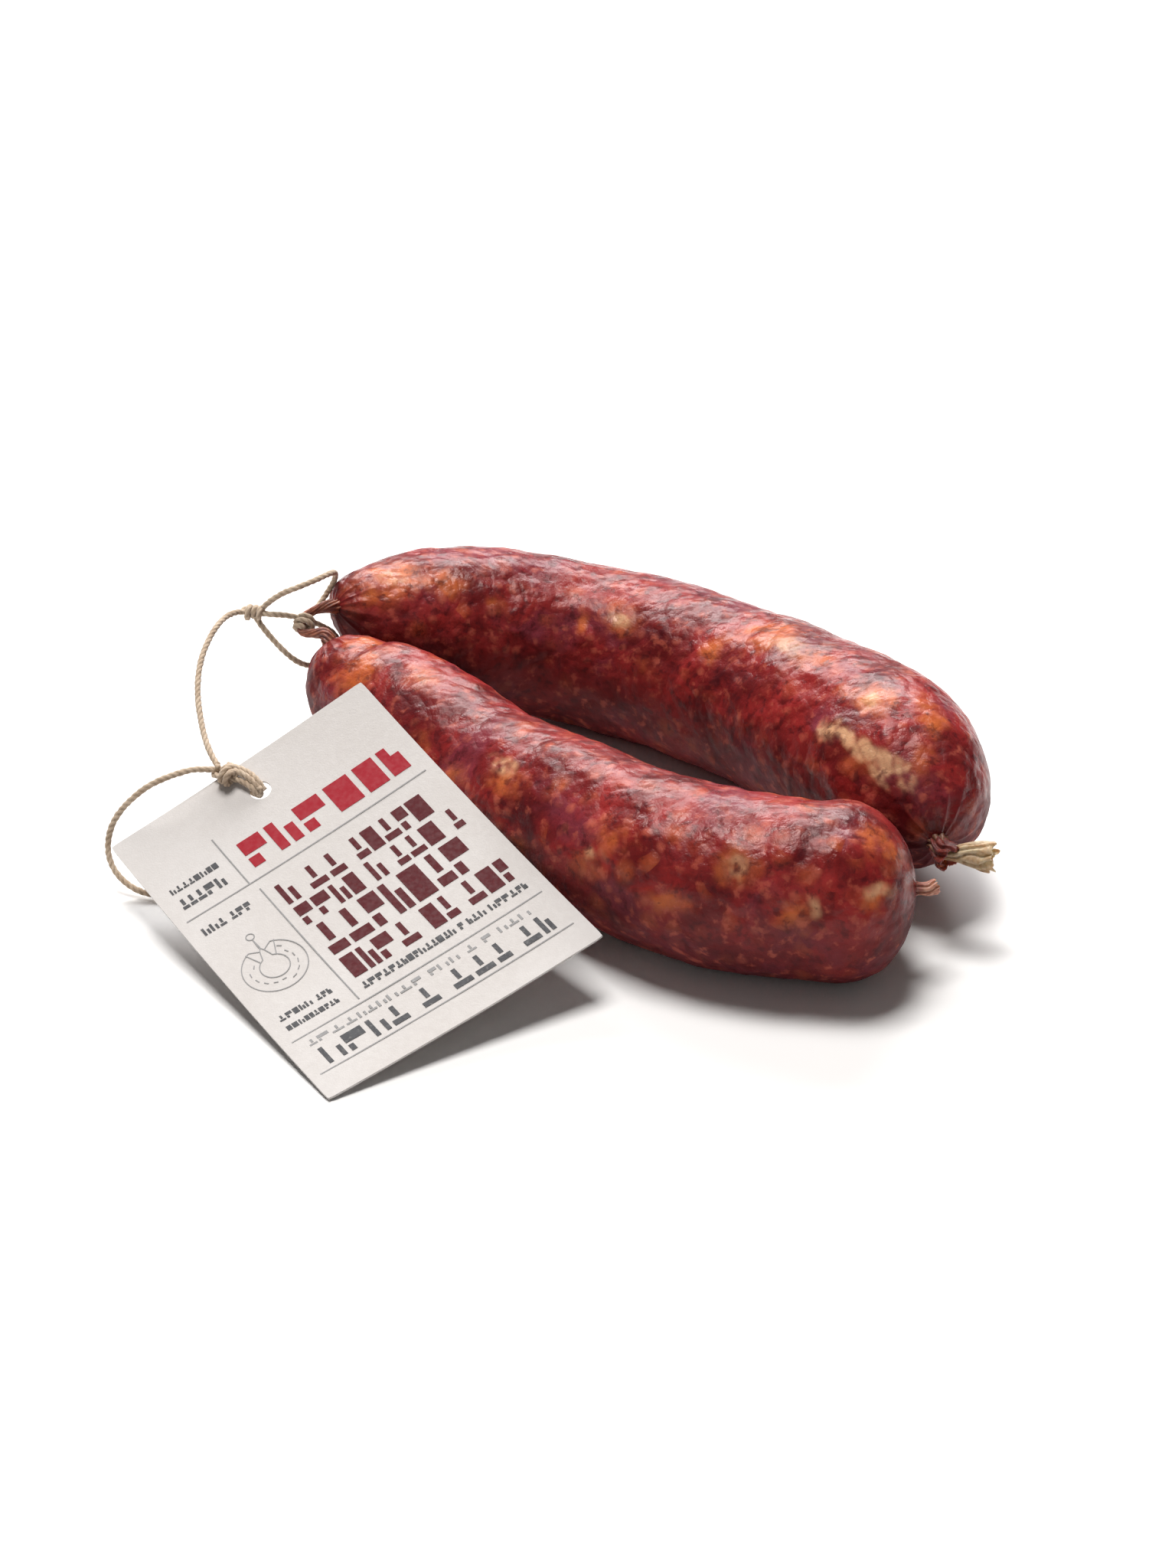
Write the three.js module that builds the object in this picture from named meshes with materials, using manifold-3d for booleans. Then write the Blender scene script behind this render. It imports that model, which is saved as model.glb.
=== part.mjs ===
// A pair of cured sausage links, tied together by natural twine that also holds a card tag.
// Millimetres, +Z up. The pair lies on the plane z = 0, with the origin under the middle of its box.
import * as THREE from 'three';
import { mergeVertices } from 'three/addons/utils/BufferGeometryUtils.js';
import Module from 'manifold-3d';

const wasm = await Module();
wasm.setup();

// Driving dimensions
const clearance = 0.3; // between pieces that touch
const flatDepth = 0.7; // how far a link is pressed flat where it rests
const frontTiedRadius = 16.0; // front link, near the tie
const frontFreeRadius = 19.2; // front link, near its free end
const backTiedRadius = 19.4; // back link, near the tie
const backFreeRadius = 20.6; // back link, near its free end
const neckRadius = 1.6; // twisted casing between the two links
const neckReach = 6.5; // how far the neck bows out past the tips of the links
const tailRadius = 1.5; // dried casing end of the back link, at its root
const tailFlare = 2.0; // how many times wider the same casing end is at its tip
const tailLength = 11.0;
const nubRadius = 1.4; // short casing end of the front link
const nubLength = 2.0;
const twineDiameter = 1.5;
const knotLumpRadius = 1.9;
const hitchLumpRadius = 2.0;
const tagWidth = 66.5;
const tagHeight = 90.5;
const tagThickness = 0.5;
const tagHoleRadius = 2.4;
const tagHoleInset = 9.0; // from the card's top edge to the hole's centre
const tagHoleSide = 33.25; // from the card's right edge to the hole's centre
const tagCurl = 0.0033; // curvature of the card, per mm
const tagCurlAngle = 0.89; // direction of the curl in the card's plane, from its width

// Section counts
const linkStations = 40;
const linkSides = 28;
const cordSides = 8;
const flatSlabHeight = 10;
const flatSlabSize = 400;

// The links' centrelines run from the tie to the free end. A point is x, y and lift,
// and lift is how far the link's widest belly would hang above the surface there.
// They are drawn for the two radii below. A link of another radius has its body moved aside
// and up by as much as the body grows there, and a thicker front link pushes the back link too.
// Both tied tips stay at the tie.
const frontSpine = [
  [-52.4, 41.2, 15], [-50, 39, 11.8], [-45.5, 35, 7], [-34, 26, 2.2], [-16.5, 7.8, -0.8], [3.5, -14, -0.6],
  [20.5, -29.6, 0], [34, -38, 0], [46.5, -41.8, 0], [58.5, -43.5, 0.3], [76, -44.5, 1],
];
const backSpine = [
  [-51.5, 9.6, 18.6], [-46.8, 13.6, 16.4], [-39.5, 18.2, 12.4], [-27.5, 23.2, 7.8], [-12, 26.7, 3.8],
  [6.5, 26, 0.6], [25, 17.2, 0], [44, 0.2, 0.8], [62, -22.6, 3.8], [73.5, -41.2, 4.8], [79.5, -58, 3.8],
  [82, -70, 2],
];
const drawnFrontRadius = 19.2;
const drawnBackRadius = 20.6;
const drawnDistance = drawnFrontRadius + drawnBackRadius; // the back link's y counts from here
const aside = new THREE.Vector2(0.67, 0.74); // away from the tag, square to the slant of the front link
const tagLean = 0.1; // further push per mm that the front link grows, as the tag leans over it

// How each link's ends close: cap length and the power of the superellipse that rounds it.
const frontEnds = { tiedCap: 30, tiedPower: 2.0, freeCap: 18, freePower: 2.2 };
const backEnds = { tiedCap: 52, tiedPower: 1.75, freeCap: 34, freePower: 2.1 };

// Twine routes, as x, y, z
const upperRoute = [
  [-69.5, 45.2, 39.0], [-67.8, 45.2, 40.4], [-65.6, 45.0, 42.4], [-62.6, 44.7, 44.4], [-59.2, 44.8, 45.8],
  [-55.8, 46.4, 46.6], [-53.2, 49.0, 46.8], [-51.8, 52.2, 46.0], [-51.6, 55.4, 44.0], [-52.4, 57.6, 41.0],
  [-54.2, 58.0, 37.8], [-56.2, 56.2, 35.4], [-57.6, 53.0, 34.6], [-58.2, 49.6, 35.4], [-58.2, 46.6, 37.0],
];
const middleRoute = [[-69.5, 45.2, 39.0], [-66.4, 44.6, 38.9], [-62.6, 44.8, 38.5], [-59.0, 45.6, 37.4]];
const lowerRoute = [
  [-70.0, 45.2, 39.0], [-69.0, 44.6, 37.0], [-67.4, 44.0, 34.8], [-65.4, 43.4, 32.4], [-63.4, 43.0, 30.2],
  [-61.4, 43.2, 28.0], [-59.2, 44.2, 26.0], [-56.6, 46.0, 24.6], [-53.8, 48.0, 24.4], [-51.6, 49.6, 26.0],
  [-51.2, 50.2, 28.8], [-52.4, 49.6, 31.6], [-54.6, 48.2, 34.0], [-57.6, 46.6, 36.4],
];
const tagRoute = [
  [-71.5, 45.4, 39.0], [-73.4, 43.4, 40.0], [-75.2, 40.6, 40.6], [-76.6, 37.4, 40.6], [-77.8, 34.0, 40.0],
  [-78.8, 30.4, 39.0], [-79.6, 26.6, 37.6], [-80.0, 22.8, 36.0], [-80.0, 19.0, 34.2], [-79.6, 15.2, 32.2],
  [-78.8, 11.4, 30.2], [-77.8, 7.6, 28.4], [-76.6, 4.0, 27.0], [-75.2, 0.8, 25.8], [-73.6, -2.0, 24.8],
];
const tailRoute = [
  [-73.2, -3.4, 24.4], [-75.6, -5.0, 25.4], [-78.4, -6.2, 26.0], [-81.6, -7.6, 25.8], [-84.8, -8.6, 25.0],
  [-88.0, -9.4, 23.6], [-91.0, -10.0, 21.4], [-93.8, -10.4, 18.6], [-96.0, -11.0, 15.4], [-97.2, -11.8, 12.0],
  [-97.4, -12.8, 8.6], [-96.4, -14.0, 5.6], [-94.2, -15.4, 3.2], [-91.0, -16.8, 1.6], [-87.0, -17.8, 0.9],
  [-83.0, -18.4, 0.8], [-79.5, -18.6, 0.8],
];
const knotLumps = [[-71.7, 45.4, 39.0], [-68.6, 45.1, 39.1]];

// Card pose: the middle of the card and the turns that lean it back on its lowest corner.
const tagMiddle = new THREE.Vector3(-42.0, -36.6, 0);
const tagTurn = new THREE.Euler(THREE.MathUtils.degToRad(19.0), THREE.MathUtils.degToRad(-6.5),
  THREE.MathUtils.degToRad(36.4), 'XYZ');
const tagCornerLift = 0.15; // the card's lowest corner stays this far above the surface

// Finishes
const finish = (color, roughness) => new THREE.MeshStandardMaterial({ color, roughness, metalness: 0 });
const meatFinish = () => finish(0x6e1f1b, 0.45);
const casingFinish = () => finish(0xc9a787, 0.6);
const twineFinish = () => finish(0xcbb79a, 0.9);
const cardFinish = () => finish(0xe9e4df, 0.8);

const vectors = (points) => points.map(([x, y, z]) => new THREE.Vector3(x, y, z));
const curveThrough = (points) => new THREE.CatmullRomCurve3(points, false, 'centripetal');

// Solids and meshes
function solidOf(geometry) {
  const bare = geometry.clone();
  bare.deleteAttribute('normal');
  bare.deleteAttribute('uv');
  const merged = mergeVertices(bare, 1e-4);
  return new wasm.Manifold(new wasm.Mesh({
    numProp: 3,
    vertProperties: merged.attributes.position.array,
    triVerts: new Uint32Array(merged.index.array),
  }));
}

function meshOf(name, solid, material) {
  const { vertProperties, triVerts } = solid.getMesh();
  const geometry = new THREE.BufferGeometry();
  geometry.setAttribute('position', new THREE.BufferAttribute(new Float32Array(vertProperties), 3));
  geometry.setIndex(new THREE.BufferAttribute(new Uint32Array(triVerts), 1));
  geometry.computeVertexNormals();
  const mesh = new THREE.Mesh(geometry, material);
  mesh.name = name;
  return mesh;
}

function ballAt(centre, radius) {
  const ball = new THREE.SphereGeometry(radius, 12, 8);
  ball.translate(centre.x, centre.y, centre.z);
  return solidOf(ball);
}

function cutAway(solid, cutters) {
  return cutters.reduce((left, cutter) => left.subtract(cutter), solid);
}

// A lathed body whose axis is bent along a curve, keeping its sections square to the curve.
function bentLathe(profile, curve, sides) {
  const lathe = new THREE.LatheGeometry(profile, sides);
  const position = lathe.attributes.position;
  const length = curve.getLength();
  const up = new THREE.Vector3(0, 0, 1);
  for (let i = 0; i < position.count; i += 1) {
    const along = THREE.MathUtils.clamp(position.getY(i) / length, 0, 1);
    const centre = curve.getPointAt(along);
    const tangent = curve.getTangentAt(along);
    const side = new THREE.Vector3().crossVectors(tangent, up).normalize();
    const rise = new THREE.Vector3().crossVectors(side, tangent);
    centre.addScaledVector(side, position.getX(i)).addScaledVector(rise, position.getZ(i));
    position.setXYZ(i, centre.x, centre.y, centre.z);
  }
  return solidOf(lathe);
}

// Radius factor of a rounded cap, from 0 at the tip to 1 where the cap ends.
function capFactor(fromTip, cap, power) {
  const left = Math.max(0, 1 - fromTip / cap);
  return Math.max(0, 1 - left ** power) ** (1 / power);
}

function linkProfile(length, tiedRadius, freeRadius, ends) {
  return Array.from({ length: linkStations + 1 }, (_, i) => {
    const spread = 0.5 - 0.5 * Math.cos((Math.PI * i) / linkStations); // stations crowd at both tips
    const along = spread * length;
    const radius = THREE.MathUtils.lerp(tiedRadius, freeRadius, freeShare(spread));
    const rounding = capFactor(along, ends.tiedCap, ends.tiedPower)
      * capFactor(length - along, ends.freeCap, ends.freePower);
    return new THREE.Vector2(i === 0 || i === linkStations ? 0 : radius * rounding, along);
  });
}

const floorSlab = solidOf(new THREE.BoxGeometry(flatSlabSize, flatSlabSize, flatSlabHeight)
  .translate(0, 0, -flatSlabHeight / 2));

// Share of the way from the tied radius to the free radius, for a fraction of the link's length.
function freeShare(fraction) {
  return Math.min(1, 1.25 * fraction);
}

function buildLink(drawn, growth, pushed, tiedRadius, freeRadius, ends) {
  const drawnLength = curveThrough(drawn).getLength();
  let walked = 0;
  const curve = curveThrough(drawn.map((point, i) => {
    walked += i === 0 ? 0 : drawn[i - 1].distanceTo(point);
    const share = freeShare(walked / drawnLength);
    const grown = share * growth * capFactor(drawnLength - walked, ends.freeCap, ends.freePower);
    const moved = grown + share * pushed;
    return new THREE.Vector3(point.x + moved * aside.x, point.y + moved * aside.y, point.z + grown);
  }));
  curve.arcLengthDivisions = 400;
  const profile = linkProfile(curve.getLength(), tiedRadius, freeRadius, ends);
  return { curve, solid: bentLathe(profile, curve, linkSides).subtract(floorSlab) };
}

function placed(spine, sideways, radius) {
  return spine.map(([x, y, lift]) => new THREE.Vector3(x, y + sideways, lift + radius - flatDepth));
}

const frontGrowth = frontFreeRadius - drawnFrontRadius;
const backGrowth = backFreeRadius - drawnBackRadius;
const front = buildLink(placed(frontSpine, 0, drawnFrontRadius), frontGrowth, tagLean * frontGrowth,
  frontTiedRadius, frontFreeRadius, frontEnds);
const back = buildLink(placed(backSpine, drawnDistance, drawnBackRadius), backGrowth,
  (2 + tagLean) * frontGrowth, backTiedRadius, backFreeRadius, backEnds);

// Dried casing: the neck between the two tips, and the end left on each link
const frontTip = front.curve.getPoint(0);
const backTip = back.curve.getPoint(0);
const neckMiddle = frontTip.clone().lerp(backTip, 0.5).add(new THREE.Vector3(-neckReach, 0, 0));

const frontOut = front.curve.getTangent(0).negate();
const backOut = back.curve.getTangent(0).negate();
const neckAlong = backTip.clone().sub(frontTip).normalize();
const neckCurve = curveThrough([
  frontTip.clone().addScaledVector(frontOut, clearance),
  frontTip.clone().addScaledVector(frontOut, neckRadius + clearance),
  neckMiddle.clone().addScaledVector(neckAlong, -1.5 * twineDiameter),
  neckMiddle.clone().addScaledVector(neckAlong, 1.5 * twineDiameter),
  backTip.clone().addScaledVector(backOut, neckRadius + clearance),
  backTip.clone().addScaledVector(backOut, clearance),
]);
const neckLength = neckCurve.getLength();

function buildNeck() {
  const stations = 26;
  const side = Array.from({ length: stations + 1 }, (_, i) => (
    new THREE.Vector2(neckRadius, (neckLength * i) / stations)));
  const profile = [new THREE.Vector2(0, 0), ...side, new THREE.Vector2(0, neckLength)];
  return bentLathe(profile, neckCurve, 12);
}

// Two turns of twine round the neck, as one ring
function buildTie() {
  const inner = neckRadius + clearance;
  const outer = inner + twineDiameter;
  const steps = [-0.8, -0.4, 0, 0.4, 0.8].map((step) => neckLength / 2 + step * twineDiameter);
  const profile = [
    ...steps.map((along) => new THREE.Vector2(outer, along)),
    ...steps.toReversed().map((along) => new THREE.Vector2(inner, along)),
    new THREE.Vector2(outer, steps[0]),
  ];
  return bentLathe(profile, neckCurve, 16);
}

function endProfile(rootRadius, tipRadius, length) {
  const tip = 0.8 * tipRadius;
  return [
    new THREE.Vector2(0, 0), new THREE.Vector2(rootRadius, 0), new THREE.Vector2(rootRadius * 0.85, length * 0.35),
    new THREE.Vector2(tipRadius * 0.8, length * 0.75), new THREE.Vector2(tipRadius, length - tip / 2),
    new THREE.Vector2(tip, length), new THREE.Vector2(0, length),
  ];
}

function buildCasingEnd(link, direction, rootRadius, tipRadius, length) {
  const tip = link.curve.getPoint(1);
  const out = link.curve.getTangent(1);
  const bend = tip.clone().addScaledVector(out, clearance + 1.5 * rootRadius);
  const curve = curveThrough([
    tip.clone().addScaledVector(out, clearance), bend,
    bend.clone().addScaledVector(direction, length / 2), bend.clone().addScaledVector(direction, length),
  ]);
  return bentLathe(endProfile(rootRadius, tipRadius, curve.getLength()), curve, 12);
}

const tailDirection = new THREE.Vector3(1, -0.35, 0.05).normalize();
const nubDirection = new THREE.Vector3(1, 0.3, 0.15).normalize();

// Twine
function twineTube(route, diameter = twineDiameter) {
  const curve = curveThrough(vectors(route));
  const steps = Math.min(80, Math.ceil(curve.getLength() / (2 * twineDiameter)));
  const section = new THREE.Shape();
  section.absarc(0, 0, diameter / 2, 0, 2 * Math.PI, false);
  return solidOf(new THREE.ExtrudeGeometry(section, { steps, curveSegments: cordSides / 2, extrudePath: curve }));
}

function lumps(centres, radius) {
  return centres.map((centre) => ballAt(centre, radius)).reduce((sum, ball) => sum.add(ball));
}

// Card tag: u runs along its width from the line of the hole, v up its height from the middle,
// and out is off its printed face
function bendPoint(u, v, out) {
  const c = Math.cos(tagCurlAngle);
  const s = Math.sin(tagCurlAngle);
  const across = u * c + v * s;
  const kept = -u * s + v * c;
  const angle = across * tagCurl;
  const bentAcross = Math.sin(angle) / tagCurl - out * Math.sin(angle);
  const bentOut = (1 - Math.cos(angle)) / tagCurl + out * Math.cos(angle);
  return new THREE.Vector3(bentAcross * c - kept * s, bentAcross * s + kept * c, bentOut);
}

function buildBentCard() {
  const card = new THREE.BoxGeometry(tagWidth, tagHeight, tagThickness, 8, 10, 1);
  card.translate(tagHoleSide - tagWidth / 2, 0, 0);
  const position = card.attributes.position;
  for (let i = 0; i < position.count; i += 1) {
    const bent = bendPoint(position.getX(i), position.getY(i), position.getZ(i));
    position.setXYZ(i, bent.x, bent.y, bent.z);
  }
  return card;
}

const cardShape = buildBentCard().applyMatrix4(new THREE.Matrix4().makeRotationFromEuler(tagTurn));
cardShape.computeBoundingBox();
const cardPlace = new THREE.Vector3(tagMiddle.x, tagMiddle.y, tagCornerLift - cardShape.boundingBox.min.z);

function onCard(u, v, out) {
  return bendPoint(u, v, out).applyEuler(tagTurn).add(cardPlace);
}

const holeHeight = tagHeight / 2 - tagHoleInset;

function buildCard() {
  const hole = new THREE.CylinderGeometry(tagHoleRadius, tagHoleRadius, 8 * tagThickness, 16).rotateX(Math.PI / 2);
  const normal = onCard(0, holeHeight, 1).sub(onCard(0, holeHeight, 0));
  const turn = new THREE.Quaternion().setFromUnitVectors(new THREE.Vector3(0, 0, 1), normal.normalize());
  const centre = onCard(0, holeHeight, 0);
  hole.applyQuaternion(turn).translate(centre.x, centre.y, centre.z);
  const standing = cardShape.clone().translate(cardPlace.x, cardPlace.y, cardPlace.z);
  return solidOf(standing).subtract(solidOf(hole));
}

// The hitch lies on the card's face, from the hole out past the top edge
const hitchOut = hitchLumpRadius + tagThickness / 2 + clearance;
const hitchCentres = [0.5, 3.4, 6.4, 9.2].map((step) => onCard(-0.45 * step, holeHeight + step, hitchOut));

// The strand behind the card, from the hitch through the hole and up past the top edge
function hitchLoopRoute() {
  const behind = -(twineDiameter / 2 + tagThickness / 2 + 2 * clearance);
  const beyond = tagHeight / 2 + twineDiameter / 2 + 2 * clearance;
  return [
    onCard(0, holeHeight, hitchOut), onCard(0, holeHeight, 0), onCard(-0.4, holeHeight + 1.2, 1.6 * behind),
    onCard(-2.2, holeHeight + 5, 1.2 * behind), onCard(-3.6, tagHeight / 2 - 0.6, 1.5 * behind),
    onCard(-4.2, beyond + 0.3, 0), onCard(-4.1, beyond, hitchOut),
  ].map((point) => point.toArray());
}

// Assembly
const neck = buildNeck();
const tie = buildTie();
const card = buildCard();
const knotCentres = vectors(knotLumps);
const knot = lumps(knotCentres, knotLumpRadius);
const hitch = lumps(hitchCentres, hitchLumpRadius);
const aroundKnot = lumps(knotCentres, knotLumpRadius + clearance);
const aroundHitch = lumps(hitchCentres, hitchLumpRadius + clearance);
const aroundLoop = twineTube(hitchLoopRoute(), twineDiameter + 2 * clearance);
const tieReach = Math.hypot(neckRadius + clearance + twineDiameter, twineDiameter);
const aroundTie = ballAt(neckCurve.getPointAt(0.5), tieReach + clearance);

const sausagePair = new THREE.Group();
sausagePair.add(
  meshOf('link_front', front.solid, meatFinish()),
  meshOf('link_back', back.solid, meatFinish()),
  meshOf('casing_neck', neck, casingFinish()),
  meshOf('casing_end_back', buildCasingEnd(back, tailDirection, tailRadius, tailRadius * tailFlare, tailLength),
    casingFinish()),
  meshOf('casing_end_front', buildCasingEnd(front, nubDirection, nubRadius, nubRadius, nubLength), casingFinish()),
  meshOf('twine_neck_tie', tie, twineFinish()),
  meshOf('twine_upper_strand', cutAway(twineTube(upperRoute), [aroundKnot, aroundTie]), twineFinish()),
  meshOf('twine_middle_strand', cutAway(twineTube(middleRoute), [aroundKnot, aroundTie]), twineFinish()),
  meshOf('twine_lower_strand', cutAway(twineTube(lowerRoute), [aroundKnot, aroundTie]), twineFinish()),
  meshOf('twine_knot', knot, twineFinish()),
  meshOf('twine_tag_strand', cutAway(twineTube(tagRoute), [aroundKnot, aroundHitch, aroundLoop]), twineFinish()),
  meshOf('tag_hitch', hitch, twineFinish()),
  meshOf('tag_hitch_loop', cutAway(twineTube(hitchLoopRoute()), [aroundHitch]), twineFinish()),
  meshOf('twine_tail', cutAway(twineTube(tailRoute), [aroundHitch, aroundLoop]), twineFinish()),
  meshOf('hang_tag', card, cardFinish()),
);

// The origin is under the middle of the box round the links, their casing and the card.
const objectBox = new THREE.Box3();
sausagePair.children.filter((mesh) => !/^(twine|tag_hitch)/.test(mesh.name))
  .forEach((mesh) => objectBox.expandByObject(mesh));
const boxMiddle = objectBox.getCenter(new THREE.Vector3());
sausagePair.position.set(-boxMiddle.x, -boxMiddle.y, 0);

export default sausagePair;
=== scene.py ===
import math

import bpy
import numpy as np
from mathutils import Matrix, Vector


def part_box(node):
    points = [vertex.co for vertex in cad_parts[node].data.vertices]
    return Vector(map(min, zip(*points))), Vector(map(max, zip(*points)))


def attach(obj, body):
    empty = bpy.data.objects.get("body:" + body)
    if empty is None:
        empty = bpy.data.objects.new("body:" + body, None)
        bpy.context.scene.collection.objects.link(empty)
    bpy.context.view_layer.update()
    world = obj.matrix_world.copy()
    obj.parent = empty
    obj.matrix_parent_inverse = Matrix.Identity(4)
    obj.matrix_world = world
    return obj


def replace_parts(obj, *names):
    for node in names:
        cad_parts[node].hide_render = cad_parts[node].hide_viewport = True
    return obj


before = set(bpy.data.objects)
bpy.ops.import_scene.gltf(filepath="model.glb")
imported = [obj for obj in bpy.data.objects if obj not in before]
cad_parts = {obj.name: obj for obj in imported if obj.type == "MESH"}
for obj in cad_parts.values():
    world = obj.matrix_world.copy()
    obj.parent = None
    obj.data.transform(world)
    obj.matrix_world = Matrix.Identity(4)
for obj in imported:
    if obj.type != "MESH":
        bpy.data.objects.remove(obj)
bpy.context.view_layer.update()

MM = 0.001
scene = bpy.context.scene

# The CAD is laid out first and then centred, so its layout is found again from the twine knot.
KNOT_LOW = np.array([-73.6, 43.2, 37.1])  # the knot's lowest corner in the layout, in mm
SHIFT = np.array(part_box("twine_knot")[0]) / MM - KNOT_LOW
SHIFT[2] = 0.0


def to_frame(points):
    """Layout millimetres to row frame metres."""
    return (np.asarray(points, float) + SHIFT) * MM


# Camera: above the front of the pair
LOOK_DOWN = 30.0
camera_data = bpy.data.cameras.new("camera")
camera_data.lens = 58.08
camera_data.sensor_width = 36.0
camera = bpy.data.objects.new("camera", camera_data)
camera.location = (0.0079, -0.4848, 0.300)
camera.rotation_euler = (math.radians(90.0 - LOOK_DOWN), 0.0, 0.0)
scene.collection.objects.link(camera)
scene.camera = camera


# Seeded noise
NOISE_GAIN = 1.7  # brings the sum to about -1 to 1
rng = np.random.RandomState(11)
PERM = np.tile(rng.permutation(256), 2)
GRAD = rng.normal(size=(256, 3))
GRAD /= np.linalg.norm(GRAD, axis=1)[:, None]


def noise(points, size, offset=0.0):
    """Smooth noise of about -1 to 1, with features of about that size."""
    at = np.asarray(points) / size + offset
    cell = np.floor(at).astype(int)
    part = at - cell
    fade = part ** 3 * (part * (part * 6 - 15) + 10)
    total = np.zeros(len(at))
    for corner in np.ndindex(2, 2, 2):
        step = np.array(corner)
        i, j, k = ((cell + step) & 255).T
        grad = GRAD[PERM[PERM[PERM[i] + j] + k]]
        near = (grad * (part - step)).sum(1)
        total += near * np.prod(np.where(step == 1, fade, 1 - fade), axis=1)
    return total * NOISE_GAIN


def smooth(x, low, high):
    t = np.clip((x - low) / (high - low), 0, 1)
    return t * t * (3 - 2 * t)


# Curves
def curve_through(points, step):
    """A centripetal Catmull-Rom curve through the points, at even steps of about that length."""
    p = np.asarray(points, float)
    p = np.vstack([2 * p[0] - p[1], p, 2 * p[-1] - p[-2]])
    dense = []
    for x0, x1, x2, x3 in zip(p, p[1:], p[2:], p[3:]):
        d0, d1, d2 = (np.linalg.norm(b - a) ** 0.5 for a, b in ((x0, x1), (x1, x2), (x2, x3)))
        t1 = ((x1 - x0) / d0 - (x2 - x0) / (d0 + d1) + (x2 - x1) / d1) * d1
        t2 = ((x2 - x1) / d1 - (x3 - x1) / (d1 + d2) + (x3 - x2) / d2) * d1
        t = np.linspace(0, 1, 60, endpoint=False)[:, None]
        dense.append(x1 * (2 * t ** 3 - 3 * t ** 2 + 1) + t1 * (t ** 3 - 2 * t ** 2 + t)
                     + x2 * (3 * t ** 2 - 2 * t ** 3) + t2 * (t ** 3 - t ** 2))
    dense = np.vstack(dense + [p[-2]])
    return even(dense, step)


def reach_along(line):
    """How far along a line each of its points is."""
    return np.concatenate([[0], np.cumsum(np.linalg.norm(np.diff(line, axis=0), axis=1))])


def even(line, step):
    """The same line with its points at even steps of about that length."""
    reach = reach_along(line)
    at = np.linspace(0, reach[-1], max(3, int(round(reach[-1] / step)) + 1))
    return np.stack([np.interp(at, reach, line[:, i]) for i in range(3)], axis=1)


def unit(v):
    return v / np.maximum(np.linalg.norm(v, axis=-1, keepdims=True), 1e-12)


def frames_along(line):
    """Tangent and two normals at each point, carried along without twist."""
    tangent = unit(np.gradient(line, axis=0))
    start = np.cross(tangent[0], [0.3, 0.2, 1.0])
    side = [unit(start)]
    for t in tangent[1:]:
        s = side[-1] - t * side[-1].dot(t)
        side.append(unit(s))
    side = np.array(side)
    return tangent, side, np.cross(tangent, side)


# Meshes
def grid_faces(rows, columns, start=0):
    """Quads of a tube of rings, each ring closed."""
    i, j = np.meshgrid(np.arange(rows - 1), np.arange(columns), indexing="ij")
    a = i * columns + j
    b = i * columns + (j + 1) % columns
    return (np.stack([a, b, b + columns, a + columns], -1).reshape(-1, 4) + start).tolist()


def make_piece(name, verts, faces, material):
    mesh = bpy.data.meshes.new(name)
    mesh.from_pydata([tuple(v) for v in verts], [], faces)
    mesh.validate()
    mesh.shade_smooth()
    mesh.materials.append(material)
    piece = bpy.data.objects.new(name, mesh)
    scene.collection.objects.link(piece)
    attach(piece, "root")
    return piece


def tube(rings):
    """Vertices and faces of rings of points (rows, columns, 3) with both ends closed by a fan."""
    rows, columns = rings.shape[:2]
    verts = rings.reshape(-1, 3)
    ends = np.array([rings[0].mean(0), rings[-1].mean(0)])
    faces = grid_faces(rows, columns)
    first, last = len(verts), len(verts) + 1
    base = (rows - 1) * columns
    for j in range(columns):
        faces.append([first, (j + 1) % columns, j])
        faces.append([last, base + j, base + (j + 1) % columns])
    return np.vstack([verts, ends]), faces


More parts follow.
